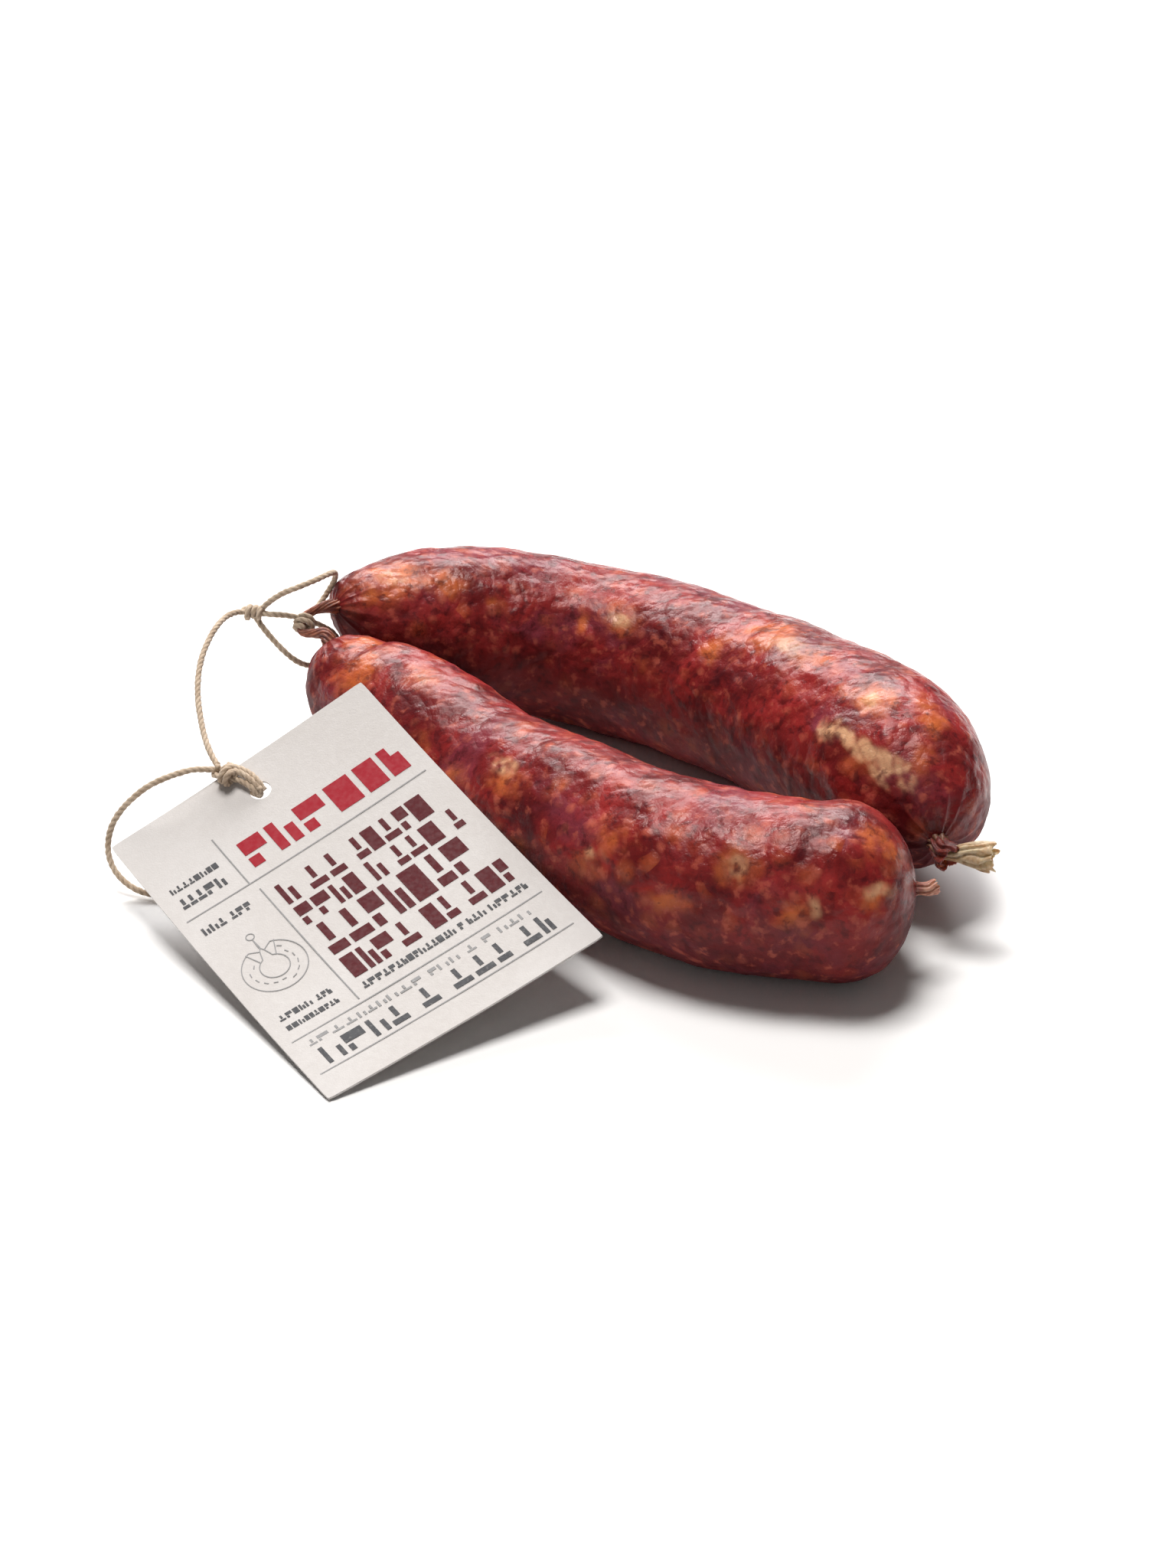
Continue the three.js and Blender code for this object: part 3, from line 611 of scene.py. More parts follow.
def build_link(name, link, seed, pale_spots, orange_spots, dark_spots, folds):
    """One link in a single mesh, with the attributes that its shader reads."""
    line = link_line(link)
    length = length_of(line)
    even_share = np.linspace(0, 1, LINK_ROWS)
    share = 0.55 * even_share + 0.45 * (0.5 - 0.5 * np.cos(math.pi * even_share))
    reach = np.linspace(0, length, len(line))
    centre = np.stack([np.interp(share * length, reach, line[:, i]) for i in range(3)], 1)
    tangent_all = unit(np.gradient(line, axis=0))
    tangent = unit(np.stack([np.interp(share * length, reach, tangent_all[:, i]) for i in range(3)], 1))
    side = unit(np.cross(tangent, [0, 0, 1.0]))
    rise = np.cross(side, tangent)
    along = share * length
    radius = link["tied"] + (link["free"] - link["tied"]) * np.minimum(1, share * 1.25)
    rounding = cap(along, link["tied_cap"], link["tied_power"]) * cap(
        length - along, link["free_cap"], link["free_power"])
    body = radius * rounding
    phi = np.linspace(0, 2 * math.pi, LINK_SIDES, endpoint=False)
    out = np.sin(phi)[None, :, None] * side[:, None, :] + np.cos(phi)[None, :, None] * rise[:, None, :]
    base = centre[:, None, :] + body[:, None, None] * out
    flat_points = base.reshape(-1, 3)
    shape = base.shape[:2]

    # wrap is a place on a plain tube, stretched so that wrinkles run round or along the link
    around = (phi[None, :] * np.ones(shape)).ravel()
    along_all = (along[:, None] * np.ones(shape)).ravel()
    body_all = (body[:, None] * np.ones(shape)).ravel()
    wrap = np.stack([np.cos(around) * 17, np.sin(around) * 17, along_all], 1)

    lumps = 0.62 * noise(flat_points, 24, seed) + 0.40 * noise(flat_points, 11, seed + 3)
    lumps += 0.27 * noise(flat_points, 5.5, seed + 5) + 0.13 * noise(flat_points, 2.6, seed + 6)
    dents = np.maximum(0, noise(flat_points, 8.5, seed + 8) - 0.35) * 0.8
    across = 1 - np.abs(noise(wrap * [1, 1, 2.1], 4.2, seed + 11))
    lengthways = 1 - np.abs(noise(wrap * [1.6, 1.6, 0.45], 3.4, seed + 17))
    crossing = 1 - np.abs(noise(flat_points, 2.3, seed + 23))
    where = smooth(noise(flat_points, 19, seed + 29), -0.35, 0.55)
    crease = smooth(across, 0.80, 1.0) * where + 0.3 * smooth(lengthways, 0.84, 1.0) * (1 - 0.5 * where)
    fine_crease = smooth(crossing, 0.80, 1.0)
    fold_noise = noise(wrap * [1, 1, 0.5], 9.0, seed + 31)
    tip_a = np.exp(-(along_all / folds["tied_reach"]) ** 1.3)
    tip_b = np.exp(-((length - along_all) / folds["free_reach"]) ** 1.3)
    tied_folds = np.abs(np.cos(folds["tied_count"] / 2 * around + 2.4 * fold_noise))
    free_folds = np.abs(np.cos(folds["free_count"] / 2 * around + 2.2 * fold_noise))
    pucker = tip_a * folds["tied_depth"] * tied_folds + tip_b * folds["free_depth"] * free_folds
    moved = lumps - dents - 0.08 * crease - 0.03 * fine_crease - pucker
    moved *= smooth(body_all, 0.0, 5.5)

    points = flat_points + moved[:, None] * out.reshape(-1, 3)
    low = points[:, 2]
    eased = FLOOR_EASE * np.exp(np.minimum(low - FLOOR_EASE, 0) / FLOOR_EASE)
    points[:, 2] = np.where(low < FLOOR_EASE, eased, low)
    points[:, 2] = np.maximum(points[:, 2], 0.0)

    verts, faces = tube(points.reshape(*shape, 3))
    piece = make_piece(f"{name}_body", to_frame(verts), faces, MEAT)
    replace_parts(piece, name)
    ends = np.zeros(2)
    share_all = along_all / length
    ragged = 1 + 0.42 * noise(flat_points, 4.5, seed + 41) + 0.38 * noise(flat_points, 2.0, seed + 43)
    torn_edge = ragged + 0.45 * noise(flat_points, 3.0, seed + 47)
    torn_edge = torn_edge + 0.25 * noise(flat_points, 1.3, seed + 49)
    pale = blotches(share_all, length, pale_spots, body_all, around) * torn_edge
    orange = blotches(share_all, length, orange_spots, body_all, around) * ragged
    dark = blotches(share_all, length, dark_spots, body_all, around)
    # under marks the underside: the colour there is darkened as painted shade and the surface made rougher;
    # the colour is also darker towards both tips
    under = smooth(np.abs(np.angle(np.exp(1j * around))), 1.0, 1.9)
    underside_shade_and_tips = 0.55 * under + 0.42 * np.exp(-along_all / 3) + 0.40 * np.exp(-(length - along_all) / 5)
    attributes = {
        "under": under,
        "pale": smooth(pale, 0.25, 0.95),
        "orange": smooth(orange, 0.25, 0.85),
        "dark": np.clip(dark + underside_shade_and_tips, 0, 0.85),
        # painted shade in the creases and puckers
        "crease": np.clip(crease + 0.5 * fine_crease + pucker * 0.5, 0, 1),
    }
    for key, values in attributes.items():
        set_attribute(piece, key, np.concatenate([np.clip(values, 0, 1), ends]))


# Blotches, as blotches() takes them. About 20 of the pale and orange places are rounded results of
# a scratch program that found points of the photo on the links. The rest were chosen one by one.
build_link(
    "link_front", FRONT, 3.3,
    pale_spots=[
        (0.45, 36, 5, 2.6, 0.85), (0.21, 10, 4, 3, 0.55), (0.79, 50, 2.5, 3.5, 0.75),
        (0.87, 70, 2.5, 4, 0.7), (0.95, 60, 4, 2.5, 0.6), (0.64, 66, 3, 3, 0.55),
    ],
    orange_spots=[
        (0.04, -10, 6, 6, 0.8), (0.10, 38, 8, 7, 1.0), (0.21, 8, 8, 4.5, 0.75), (0.30, 52, 5, 4, 0.6),
        (0.38, 60, 6, 4, 0.6), (0.47, 44, 7, 4.5, 0.85), (0.54, 30, 6, 4, 0.5), (0.65, 48, 6, 5, 0.7),
        (0.63, 76, 5, 5, 0.6), (0.73, 80, 5, 4, 0.65), (0.79, 50, 4.5, 5, 0.85), (0.86, 74, 4, 6, 0.75),
        (0.95, 20, 6, 7, 0.8), (0.95, 66, 5, 4, 0.7), (0.52, 84, 5, 4, 0.6),
    ],
    dark_spots=[(0.25, 30, 12, 7, 0.5), (0.52, 65, 8, 8, 0.45), (0.78, 45, 10, 6, 0.4)],
    folds={"tied_reach": 4, "tied_depth": 0.7, "tied_count": 15, "free_reach": 4.5, "free_depth": 0.8,
           "free_count": 13},
)
build_link(
    "link_back", BACK, 7.7,
    pale_spots=[
        (0.850, 50, 4, 3.0, 1.05), (0.872, 44, 5, 2.0, 1.05), (0.895, 47, 5, 1.5, 0.95),
        (0.915, 40, 4, 1.8, 0.95), (0.935, 35, 4, 2.2, 1.05), (0.955, 27, 4, 2.4, 1.0),
        (0.940, 46, 4, 1.4, 0.8), (0.43, 38, 5, 2.6, 0.85), (0.70, 14, 6, 3.4, 0.85),
        (0.86, 20, 3, 3, 0.7), (0.05, 26, 4, 3, 0.6),
    ],
    orange_spots=[
        (0.05, 24, 8, 8, 1.0), (0.12, 34, 8, 6, 0.8), (0.20, 50, 6, 5, 0.55), (0.36, 48, 4, 3.5, 0.75),
        (0.43, 38, 7, 4.5, 0.95), (0.60, 34, 5, 6, 0.75), (0.66, 10, 10, 7, 0.95), (0.74, 16, 6, 5, 0.75),
        (0.825, 24, 5, 4, 0.65), (0.86, 16, 6, 5, 1.0), (0.90, -10, 8, 4, 0.75), (0.95, 8, 5, 5, 0.6),
        (0.50, 66, 5, 5, 0.5), (0.30, 72, 5, 4, 0.5), (0.915, 50, 8, 4, 0.55),
    ],
    dark_spots=[
        (0.24, 30, 16, 7, 0.45), (0.49, 50, 10, 8, 0.5), (0.66, 48, 9, 5, 0.5), (0.70, 20, 9, 6, 0.4),
    ],
    folds={"tied_reach": 4, "tied_depth": 0.7, "tied_count": 15, "free_reach": 4.5, "free_depth": 1.0,
           "free_count": 11},
)


# Casing: the twisted neck, the tie round it, and the dried end on each link
CLEARANCE = 0.3
NECK_RADIUS = 1.6
NECK_REACH = 6.5
NECK_SINK = -0.6  # the neck starts inside each tip by this much
TIE_HALF = 1.55  # half the width of the tie round the neck
STUB_ROOT, STUB_LENGTH, STUB_INSET = 1.5, 11.0, 1.5
FLAP_ROOT, FLAP_LENGTH, FLAP_INSET = 1.0, 3.6, 1.0
NUB_ROOT, NUB_LENGTH, NUB_INSET = 1.4, 2.0, 1.2
front_line, back_line = link_line(FRONT), link_line(BACK)
front_tip, back_tip = front_line[0], back_line[0]
front_out = -unit(front_line[1] - front_line[0])
back_out = -unit(back_line[1] - back_line[0])
neck_along = unit(back_tip - front_tip)
neck_middle = (front_tip + back_tip) / 2 + [-NECK_REACH, 0, 0]
neck_line = curve_through([
    front_tip + front_out * NECK_SINK, front_tip + front_out * (NECK_RADIUS + CLEARANCE),
    neck_middle - neck_along * 1.5 * TWINE_D, neck_middle + neck_along * 1.5 * TWINE_D,
    back_tip + back_out * (NECK_RADIUS + CLEARANCE), back_tip + back_out * NECK_SINK,
], 0.22)


def fluted(line, radius, folds, depth, seed, twist=0.0, sides=72):
    """Rings of a gathered skin round a line, with folds that run along it."""
    _, side, rise = frames_along(line)
    reach = reach_along(line)
    angle = np.linspace(0, 2 * math.pi, sides, endpoint=False)
    turn = angle[None, :] + twist * reach[:, None]
    ring_place = np.stack([np.cos(turn) * 2.2, np.sin(turn) * 2.2, reach[:, None] * 0.5 + 0 * turn], -1)
    wander = noise(ring_place.reshape(-1, 3), 1.6, seed).reshape(turn.shape)
    lobes = np.abs(np.cos(folds / 2 * turn + 1.3 * wander))
    size = radius[:, None] * (1 - depth * (1 - lobes)) + 0.10 * wander
    return line[:, None, :] + size[..., None] * (
        np.cos(angle)[None, :, None] * side[:, None, :] + np.sin(angle)[None, :, None] * rise[:, None, :])


neck_share = np.linspace(-1, 1, len(neck_line))
neck_radius = 1.0 + 0.9 * smooth(np.abs(neck_share), 0.35, 1.0)
verts, faces = tube(fluted(neck_line, neck_radius, 9, 0.30, 1.5, twist=0.35))
NECK_SKIN = casing_material("dry_casing_neck", (0.300, 0.100, 0.055), (0.130, 0.026, 0.018))
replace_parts(make_piece("casing_neck_folds", to_frame(verts), faces, NECK_SKIN), "casing_neck")

tie_from = neck_middle - neck_along * TIE_HALF
tie_to = neck_middle + neck_along * TIE_HALF
tie_line = wraps(tie_from, tie_to, 2.4, 1.95, 0.3, 1.0)
twine_piece("twine_neck_tie_wound", [tie_line], 35, ["twine_neck_tie"], radius=0.70, hair=1.0)


def ragged_end(name, line, radius, wall, folds, depth, seed, material, node, ragged=1.2, twist=0.1):
    """An open, torn sleeve of dried casing: outside, torn rim and inside."""
    outer = fluted(line, radius, folds, depth, seed, twist)
    inner_line = line + unit(line[1] - line[0]) * 0.02
    inner = fluted(inner_line, np.maximum(radius - wall, 0.12), folds, depth, seed, twist)
    columns = outer.shape[1]
    angle = np.linspace(0, 2 * math.pi, columns, endpoint=False)
    circle = np.stack([np.cos(angle), np.sin(angle), 0 * angle], 1) * 2.0
    torn = ragged * (noise(circle, 0.9, seed + 2) + 0.6 * noise(circle, 0.35, seed + 4))
    out = unit(line[-1] - line[-2])
    push = smooth(np.linspace(0, 1, len(line)), 0.55, 1.0)[:, None] * torn[None, :]
    outer = outer + push[..., None] * out
    inner = inner + push[..., None] * out
    rings = np.concatenate([outer, inner[::-1]], 0)
    verts, faces = tube(rings)
    piece = make_piece(f"{name}_torn", to_frame(verts), faces, material)
    rooted = np.concatenate([smooth(np.linspace(0, 1, len(line)), 0.62, 0.12)] * 2)
    rooted[len(line):] = rooted[len(line):][::-1]
    set_attribute(piece, "root", np.concatenate([np.repeat(rooted, columns), np.ones(2)]))
    if node:
        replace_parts(piece, node)


def end_line(line, direction, root, length, inset):
    """A line out of a link's free tip that starts inside the link and bends to a direction."""
    tip, out = line[-1], unit(line[-1] - line[-2])
    bend = tip + out * (CLEARANCE + 1.5 * root)
    return curve_through([tip - out * inset, tip + out * CLEARANCE, bend, bend + direction * length / 2,
                          bend + direction * length], 0.2)


STUB_DIRECTION = unit(np.array([1, -0.35, 0.05]))
FLAP_DIRECTION = unit(np.array([0.55, -0.75, -0.25]))
NUB_DIRECTION = unit(np.array([1, 0.3, 0.15]))
stub = end_line(back_line, STUB_DIRECTION, STUB_ROOT, STUB_LENGTH, STUB_INSET)
stub_share = np.linspace(0, 1, len(stub))
stub_radius = 1.9 + 0.9 * smooth(stub_share, 0.25, 0.0) - 0.25 * np.exp(-((stub_share - 0.4) / 0.15) ** 2)
stub_radius += 1.55 * smooth(stub_share, 0.35, 1.0)
STUB_SKIN = casing_material("dry_casing_stub", (0.640, 0.490, 0.320), (0.400, 0.250, 0.135),
                            (0.160, 0.045, 0.020))
ragged_end("casing_end_back", stub, stub_radius, 0.35, 9, 0.36, 2.5, STUB_SKIN, "casing_end_back", 0.9)

flap = end_line(back_line, FLAP_DIRECTION, FLAP_ROOT, FLAP_LENGTH, FLAP_INSET)
flap_radius = 2.2 + 1.3 * smooth(np.linspace(0, 1, len(flap)), 0.2, 1.0)
FLAP_SKIN = casing_material("dry_casing_flap", (0.170, 0.026, 0.018), (0.080, 0.010, 0.010))
ragged_end("casing_flap_back", flap, flap_radius, 0.4, 8, 0.34, 6.5, FLAP_SKIN, None, 0.9)

nub = end_line(front_line, NUB_DIRECTION, NUB_ROOT, NUB_LENGTH, NUB_INSET)
nub_share = np.linspace(0, 1, len(nub))
nub_radius = 1.5 + 0.7 * smooth(nub_share, 0.35, 0.0) + 0.25 * smooth(nub_share, 0.6, 1.0)
NUB_SKIN = casing_material("dry_casing_nub", (0.470, 0.230, 0.160), (0.270, 0.085, 0.055),
                           (0.160, 0.030, 0.022))
ragged_end("casing_end_front", nub, nub_radius, 0.35, 7, 0.34, 4.5, NUB_SKIN, "casing_end_front", 0.5)


# Card tag: u along its width, v up its height, out off its printed face
TAG_W, TAG_H, TAG_T = 66.5, 90.5, 0.5
CURL, CURL_ANGLE = 0.0033, 0.89
TAG_TURN = [math.radians(a) for a in (19.0, -6.5, 36.4)]
HOLE_INSET = 9.0  # from the card's top edge to the hole's centre
HOLE_V = TAG_H / 2 - HOLE_INSET
HOLE_R = 2.4
CARD_MIDDLE = (-42.0, -36.6)
CORNER_LIFT = 0.15  # the lowest corner stays this far above the surface


def bend_card(uvo):
    """Flat card points, curled."""
    u, v, out = np.asarray(uvo, float).T
    c, s = math.cos(CURL_ANGLE), math.sin(CURL_ANGLE)
    across, kept = u * c + v * s, -u * s + v * c
    angle = across * CURL
    bent = np.sin(angle) / CURL - out * np.sin(angle)
    rise = (1 - np.cos(angle)) / CURL + out * np.cos(angle)
    return np.stack([bent * c - kept * s, bent * s + kept * c, rise], 1)


def turn_card(points):
    """Curled card points, leaned back as the card lies."""
    a, b, c = TAG_TURN
    rx = np.array([[1, 0, 0], [0, math.cos(a), -math.sin(a)], [0, math.sin(a), math.cos(a)]])
    ry = np.array([[math.cos(b), 0, math.sin(b)], [0, 1, 0], [-math.sin(b), 0, math.cos(b)]])
    rz = np.array([[math.cos(c), -math.sin(c), 0], [math.sin(c), math.cos(c), 0], [0, 0, 1]])
    return points @ (rx @ ry @ rz).T


corners = np.array([[u, v, o] for u in (-TAG_W / 2, TAG_W / 2) for v in (-TAG_H / 2, TAG_H / 2)
                    for o in (-TAG_T / 2, TAG_T / 2)])
CARD_PLACE = np.array([*CARD_MIDDLE, CORNER_LIFT - turn_card(bend_card(corners))[:, 2].min()])


def on_card(uvo):
    return turn_card(bend_card(uvo)) + CARD_PLACE


def build_card():
    """The flat card with its hole cut, as points in u, v, out and faces."""
    columns, rows = 44, 60
    half = TAG_T / 2
    edge = 0.35
    us = np.linspace(-TAG_W / 2, TAG_W / 2, columns)
    vs = np.linspace(-TAG_H / 2, TAG_H / 2, rows)
    verts, faces = [], []
    for o in (half, -half):
        for v in vs:
            for u in us:
                cut_u = max(0.0, edge - (TAG_W / 2 - abs(u)))
                cut_v = max(0.0, edge - (TAG_H / 2 - abs(v)))
                corner = 0.4 * min(cut_u, cut_v)
                verts.append([u - math.copysign(corner, u), v - math.copysign(corner, v), o])
    top = rows * columns
    for i in range(rows - 1):
        for j in range(columns - 1):
            a = i * columns + j
            quad = [a, a + 1, a + columns + 1, a + columns]
            faces.append(quad)
            faces.append([k + top for k in quad[::-1]])
    loop = [j for j in range(columns)] + [i * columns + columns - 1 for i in range(1, rows)]
    loop += [(rows - 1) * columns + j for j in range(columns - 2, -1, -1)]
    loop += [i * columns for i in range(rows - 2, 0, -1)]
    for a, b in zip(loop, loop[1:] + loop[:1]):
        faces.append([b, a, a + top, b + top])
    mesh = bpy.data.meshes.new("card_flat")
    mesh.from_pydata([tuple(v) for v in verts], [], faces)
    flat = bpy.data.objects.new("card_flat", mesh)
    scene.collection.objects.link(flat)
    angle = np.linspace(0, 2 * math.pi, 48, endpoint=False)
    rim = 2.0
    rings = np.array([[[HOLE_R * math.cos(a), HOLE_V + HOLE_R * math.sin(a), o] for a in angle]
                      for o in (-rim, rim)])
    cut_verts, cut_faces = tube(rings)
    cut_mesh = bpy.data.meshes.new("card_cut")
    cut_mesh.from_pydata([tuple(v) for v in cut_verts], [], cut_faces)
    cutter = bpy.data.objects.new("card_cut", cut_mesh)
    scene.collection.objects.link(cutter)
    boolean = flat.modifiers.new("hole", "BOOLEAN")
    boolean.operation, boolean.solver, boolean.object = "DIFFERENCE", "EXACT", cutter
    bpy.context.view_layer.update()
    cut = bpy.data.meshes.new_from_object(flat.evaluated_get(bpy.context.evaluated_depsgraph_get()))
    points = np.array([v.co for v in cut.vertices])
    polygons = [list(p.vertices) for p in cut.polygons]
    for spare in (flat, cutter):
        bpy.data.objects.remove(spare)
    points[:, 2] += 0.05 * noise(points * [1, 1, 0], 14.0, 5.5)
    return points, polygons


card_points, card_faces = build_card()
card = make_piece("hang_tag_card", to_frame(on_card(card_points)), card_faces, PAPER)
card.data.set_sharp_from_angle(angle=math.radians(35))
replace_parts(card, "hang_tag")

# Print: thin raised ink, in plain abstract shapes only
INK_H = 0.03
INK_SUNK = 0.02  # how far ink reaches into the card
INK_LIFT = 0.06  # clears the card's own waviness


class Ink:
    """Thin prisms that follow the card's curl."""

    def __init__(self):
        self.verts, self.faces = [], []

    def strip(self, outline):
        """A closed flat outline, convex, given as (u, v) points."""
        start = len(self.verts)
        n = len(outline)
        for o in (TAG_T / 2 - INK_SUNK, TAG_T / 2 + INK_H + INK_LIFT):
            self.verts += [[u, v, o] for u, v in outline]
        self.faces.append([start + n + i for i in range(n)])
        self.faces.append([start + i for i in reversed(range(n))])
        for i in range(n):
            j = (i + 1) % n
            self.faces.append([start + i, start + j, start + n + j, start + n + i])

    def bar(self, u0, v0, u1, v1):
        """A box from one corner to the other, cut into short lengths so that it bends."""
        long_u = abs(u1 - u0) >= abs(v1 - v0)
        span = abs(u1 - u0) if long_u else abs(v1 - v0)
        steps = max(1, int(math.ceil(span / 3.0)))
        for k in range(steps):
            a, b = k / steps, (k + 1) / steps
            if long_u:
                p, q = u0 + (u1 - u0) * a, u0 + (u1 - u0) * b
                self.strip([(p, v0), (q, v0), (q, v1), (p, v1)])
            else:
                p, q = v0 + (v1 - v0) * a, v0 + (v1 - v0) * b
                self.strip([(u0, p), (u1, p), (u1, q), (u0, q)])

    def line(self, points, width):
        """A line of even width through (u, v) points."""
        points = np.array(points, float)
        for p, q in zip(points, points[1:]):
            t = (q - p) / max(np.linalg.norm(q - p), 1e-9)
            s = np.array([-t[1], t[0]]) * width / 2
            self.strip([tuple(p - s), tuple(q - s), tuple(q + s), tuple(p + s)])

    def glyph_row(self, u0, u1, v0, v1, draw, wide, stroke):
        """A row of plain block marks: stems, some bridged, with gaps between groups."""
        u = u0
        while u < u1 - wide * 0.5:
            w = min(wide * draw.uniform(0.75, 1.15), u1 - u)
            kind, tall = draw.randint(4), v1 - v0
            right = u + w * 0.80
            if kind == 0:
                self.bar(u, v0, right, v1)
            elif kind == 1:
                self.bar(u, v0, u + stroke, v1)
                self.bar(right - stroke, v0, right, v1 - tall * 0.35)
            elif kind == 2:
                self.bar(u, v0, right, v0 + tall * 0.28)
                stem = u + (right - u - stroke) / 2
                self.bar(stem, v0 + tall * 0.42, u + (right - u + stroke) / 2, v1)
            else:
                self.bar(u, v0 + tall * 0.5, right, v1)
                self.bar(u, v0, u + stroke * 1.2, v0 + tall * 0.36)
            u += w
            if draw.uniform() < 0.12:
                u += wide * 0.5

    def piece(self, name, material):
        verts = to_frame(on_card(np.array(self.verts)))
        make_piece(name, verts, self.faces, material).data.shade_flat()


draw = np.random.RandomState(5)
red, wine, grey, thin = Ink(), Ink(), Ink(), Ink()
RULE_1, RULE_2, RULE_3 = 16.1, -27.2, -38.5
LEFT, RIGHT = -31.0, 30.6
DIVIDER_TOP, DIVIDER = -15.3, -14.3
RULE_HALF = 0.15
for height in (RULE_1, RULE_2, RULE_3):
    thin.bar(LEFT, height - RULE_HALF, RIGHT, height + RULE_HALF)
thin.bar(DIVIDER_TOP - RULE_HALF, RULE_1, DIVIDER_TOP + RULE_HALF, 32.0)
thin.bar(DIVIDER - RULE_HALF, -26.0, DIVIDER + RULE_HALF, 13.6)

# top band: one row of plain bright marks
red.glyph_row(-12.0, 30.0, 19.2, 27.2, draw, 8.2, 2.3)

# wine block, as bottom, top, pitch and stroke of each row
WINE_ROWS = [
    (5.6, 11.9, 4.6, 1.15), (-1.6, 4.2, 4.2, 1.10), (-12.4, -3.0, 6.2, 1.60), (-20.6, -14.0, 4.4, 1.20),
]
for v0, v1, wide, stroke in WINE_ROWS:
    wine.glyph_row(-11.8, 29.6, v0, v1, draw, wide, stroke)
grey.glyph_row(-11.8, 29.4, -24.4, -22.6, draw, 1.6, 0.45)
grey.glyph_row(-29.6, -17.2, 24.6, 26.2, draw, 1.5, 0.40)
grey.glyph_row(-29.6, -17.2, 19.4, 22.4, draw, 2.4, 0.70)
grey.glyph_row(-29.8, -17.2, 10.2, 12.4, draw, 1.9, 0.55)
grey.glyph_row(-29.8, -17.2, -24.0, -22.6, draw, 1.4, 0.40)
grey.glyph_row(-29.8, -17.2, -20.8, -19.2, draw, 1.6, 0.45)
thin.glyph_row(-28.6, 28.6, -30.6, -28.9, draw, 2.9, 0.50)
grey.glyph_row(-28.0, 28.0, -37.2, -32.1, draw, 5.2, 1.00)

# outline drawing: one plain curled link, tied at both ends and hung from a string
DRAWING = np.array([-22.8, -6.6])
DRAWN_WIDTH = 0.22
INNER, OUTER = 3.2, 7.0  # radii of the drawn link's two outlines


def drawn_arc(radius, start, end, middle=(0.0, 0.0), steps=40):
    """An arc of the drawing, between two angles in degrees."""
    angle = np.radians(np.linspace(start, end, steps))
    ring = np.stack([np.cos(angle), np.sin(angle)], 1) * radius
    thin.line(DRAWING + middle + ring, DRAWN_WIDTH)


for ring_radius in (INNER, OUTER):
    drawn_arc(ring_radius, 112, 428)
for end in (112, 68):
    along = np.array([math.cos(math.radians(end)), math.sin(math.radians(end))])
    away = np.array([along[1], -along[0]]) * (-1 if end == 68 else 1)
    pinch = DRAWING + 5.1 * along + 1.5 * away
    thin.line([DRAWING + INNER * along, pinch, DRAWING + OUTER * along], DRAWN_WIDTH)
    thin.line([pinch, pinch + 0.7 * away + [0, 0.9], DRAWING + [0, 9.3]], DRAWN_WIDTH)
    thin.line([DRAWING + 3.0 * along - 0.8 * away, DRAWING + 7.2 * along - 0.8 * away], DRAWN_WIDTH)
drawn_arc(0.9, -90, 270, (0.0, 10.2), 20)
for dash in range(140, 405, 24):
    drawn_arc(4.4 + 1.0 * (dash % 5) / 4, dash, dash + 12, steps=6)

red.piece("tag_print_red", INK_RED)
wine.piece("tag_print_wine", INK_WINE)
grey.piece("tag_print_grey", INK_GREY)
thin.piece("tag_print_lines", INK_PALE)

# Hitch: twine wound through the hole and over the card's top edge
HITCH_LUMP = 2.0
hitch_out = HITCH_LUMP + TAG_T / 2 + CLEARANCE


def hitch_strand(k):
    """One of three strands from the hole up over the card's edge; the middle one lies on top."""
    top = k == 1
    return curve_through(on_card([
        [-1.0 + 0.9 * k, HOLE_V - 0.3, -0.2], [-1.3 + 1.0 * k, HOLE_V + 1.3, 1.2 + 0.2 * top],
        [-2.4 + 1.4 * k, HOLE_V + 4.6, 1.5 + 0.9 * top],
        [-4.9 + 1.9 * k, HOLE_V + 8.2, 1.5 + 0.9 * top],
        [-5.8 + 2.0 * k, HOLE_V + 10.2, 0.9],
    ]), 0.3)


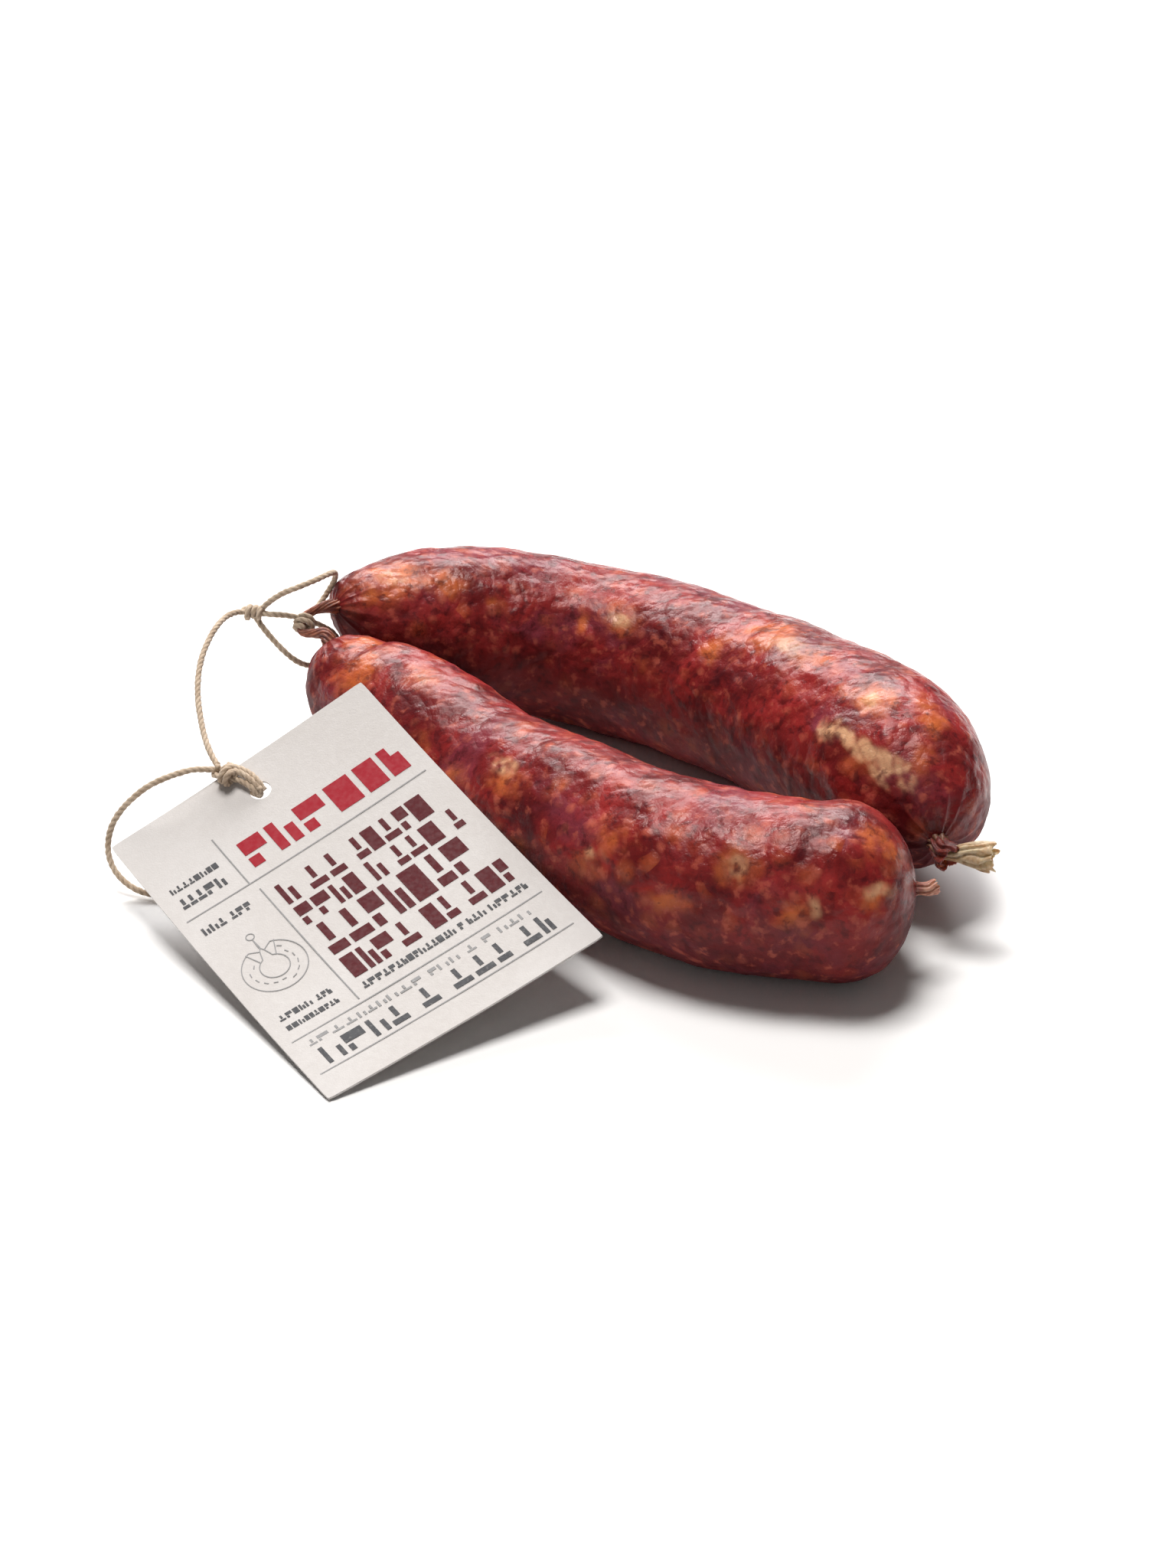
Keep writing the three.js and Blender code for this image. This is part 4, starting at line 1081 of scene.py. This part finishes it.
hitch_strands = [hitch_strand(k) for k in range(3)]
wrap_from, wrap_to = on_card([[-3.0, HOLE_V + 5.6, 1.9], [-3.9, HOLE_V + 8.6, 1.9]])
hitch_wrap = wraps(wrap_from, wrap_to, 2.2, 2.15, 0.3, 0.6, flat=0.85)
twine_piece("tag_hitch_wound", [*hitch_strands, hitch_wrap], 41, ["tag_hitch"], radius=0.72, hair=0.9)
LOOP_GAP = 0.6
behind = -(TWINE_D / 2 + TAG_T / 2 + LOOP_GAP)
beyond = TAG_H / 2 + TWINE_D / 2 + LOOP_GAP
loop_line = curve_through(on_card([
    [0, HOLE_V, hitch_out - 1.2], [0, HOLE_V, 0], [-0.4, HOLE_V + 1.2, 1.6 * behind],
    [-2.2, HOLE_V + 5, 1.2 * behind], [-3.6, TAG_H / 2 - 0.6, 1.5 * behind],
    [-4.2, beyond + 0.3, 0], [-4.1, beyond, hitch_out],
]), 0.3)
twine_piece("tag_hitch_loop_laid", [loop_line], 45, ["tag_hitch_loop"], radius=0.70)


# Floor and light
FLOOR_HALF = 6.0
FLOOR_Z = -0.0002
floor_corners = [(x * FLOOR_HALF, y * FLOOR_HALF, FLOOR_Z) for x, y in ((-1, -1), (1, -1), (1, 1), (-1, 1))]
floor_mesh = bpy.data.meshes.new("floor")
floor_mesh.from_pydata(floor_corners, [], [[0, 1, 2, 3]])
floor = bpy.data.objects.new("floor", floor_mesh)
floor_look = Nodes("floor_paper", Roughness=0.9, Specular_IOR_Level=0.1)
floor_look.shader.inputs["Base Color"].default_value = (0.88, 0.875, 0.87, 1.0)
floor_mesh.materials.append(floor_look.material)
scene.collection.objects.link(floor)


def area_light(name, location, target, size, power, colour=(1, 1, 1)):
    """A rectangular light, in metres and watts, turned to face its target."""
    data = bpy.data.lights.new(name, "AREA")
    data.shape = "RECTANGLE"
    data.size, data.size_y = size
    data.energy = power
    data.color = colour
    light = bpy.data.objects.new(name, data)
    light.location = location
    light.rotation_euler = (Vector(target) - Vector(location)).to_track_quat("-Z", "Y").to_euler()
    scene.collection.objects.link(light)


PAIR_MIDDLE = (0.0, 0.0, 0.02)
area_light("key", (-0.10, 0.12, 1.10), PAIR_MIDDLE, (0.46, 0.38), 13.5, (1.0, 0.985, 0.965))
area_light("back_box", (-0.06, 0.95, 0.80), PAIR_MIDDLE, (1.1, 0.45), 19.0)
area_light("front_fill", (-0.25, -1.1, 0.75), PAIR_MIDDLE, (0.9, 0.6), 0.5)

world = bpy.data.worlds.new("studio")
world.use_nodes = True
world.node_tree.nodes["Background"].inputs["Color"].default_value = (1.0, 0.95, 0.92, 1.0)
world.node_tree.nodes["Background"].inputs["Strength"].default_value = 0.13
scene.world = world
scene.view_settings.view_transform = "Standard"
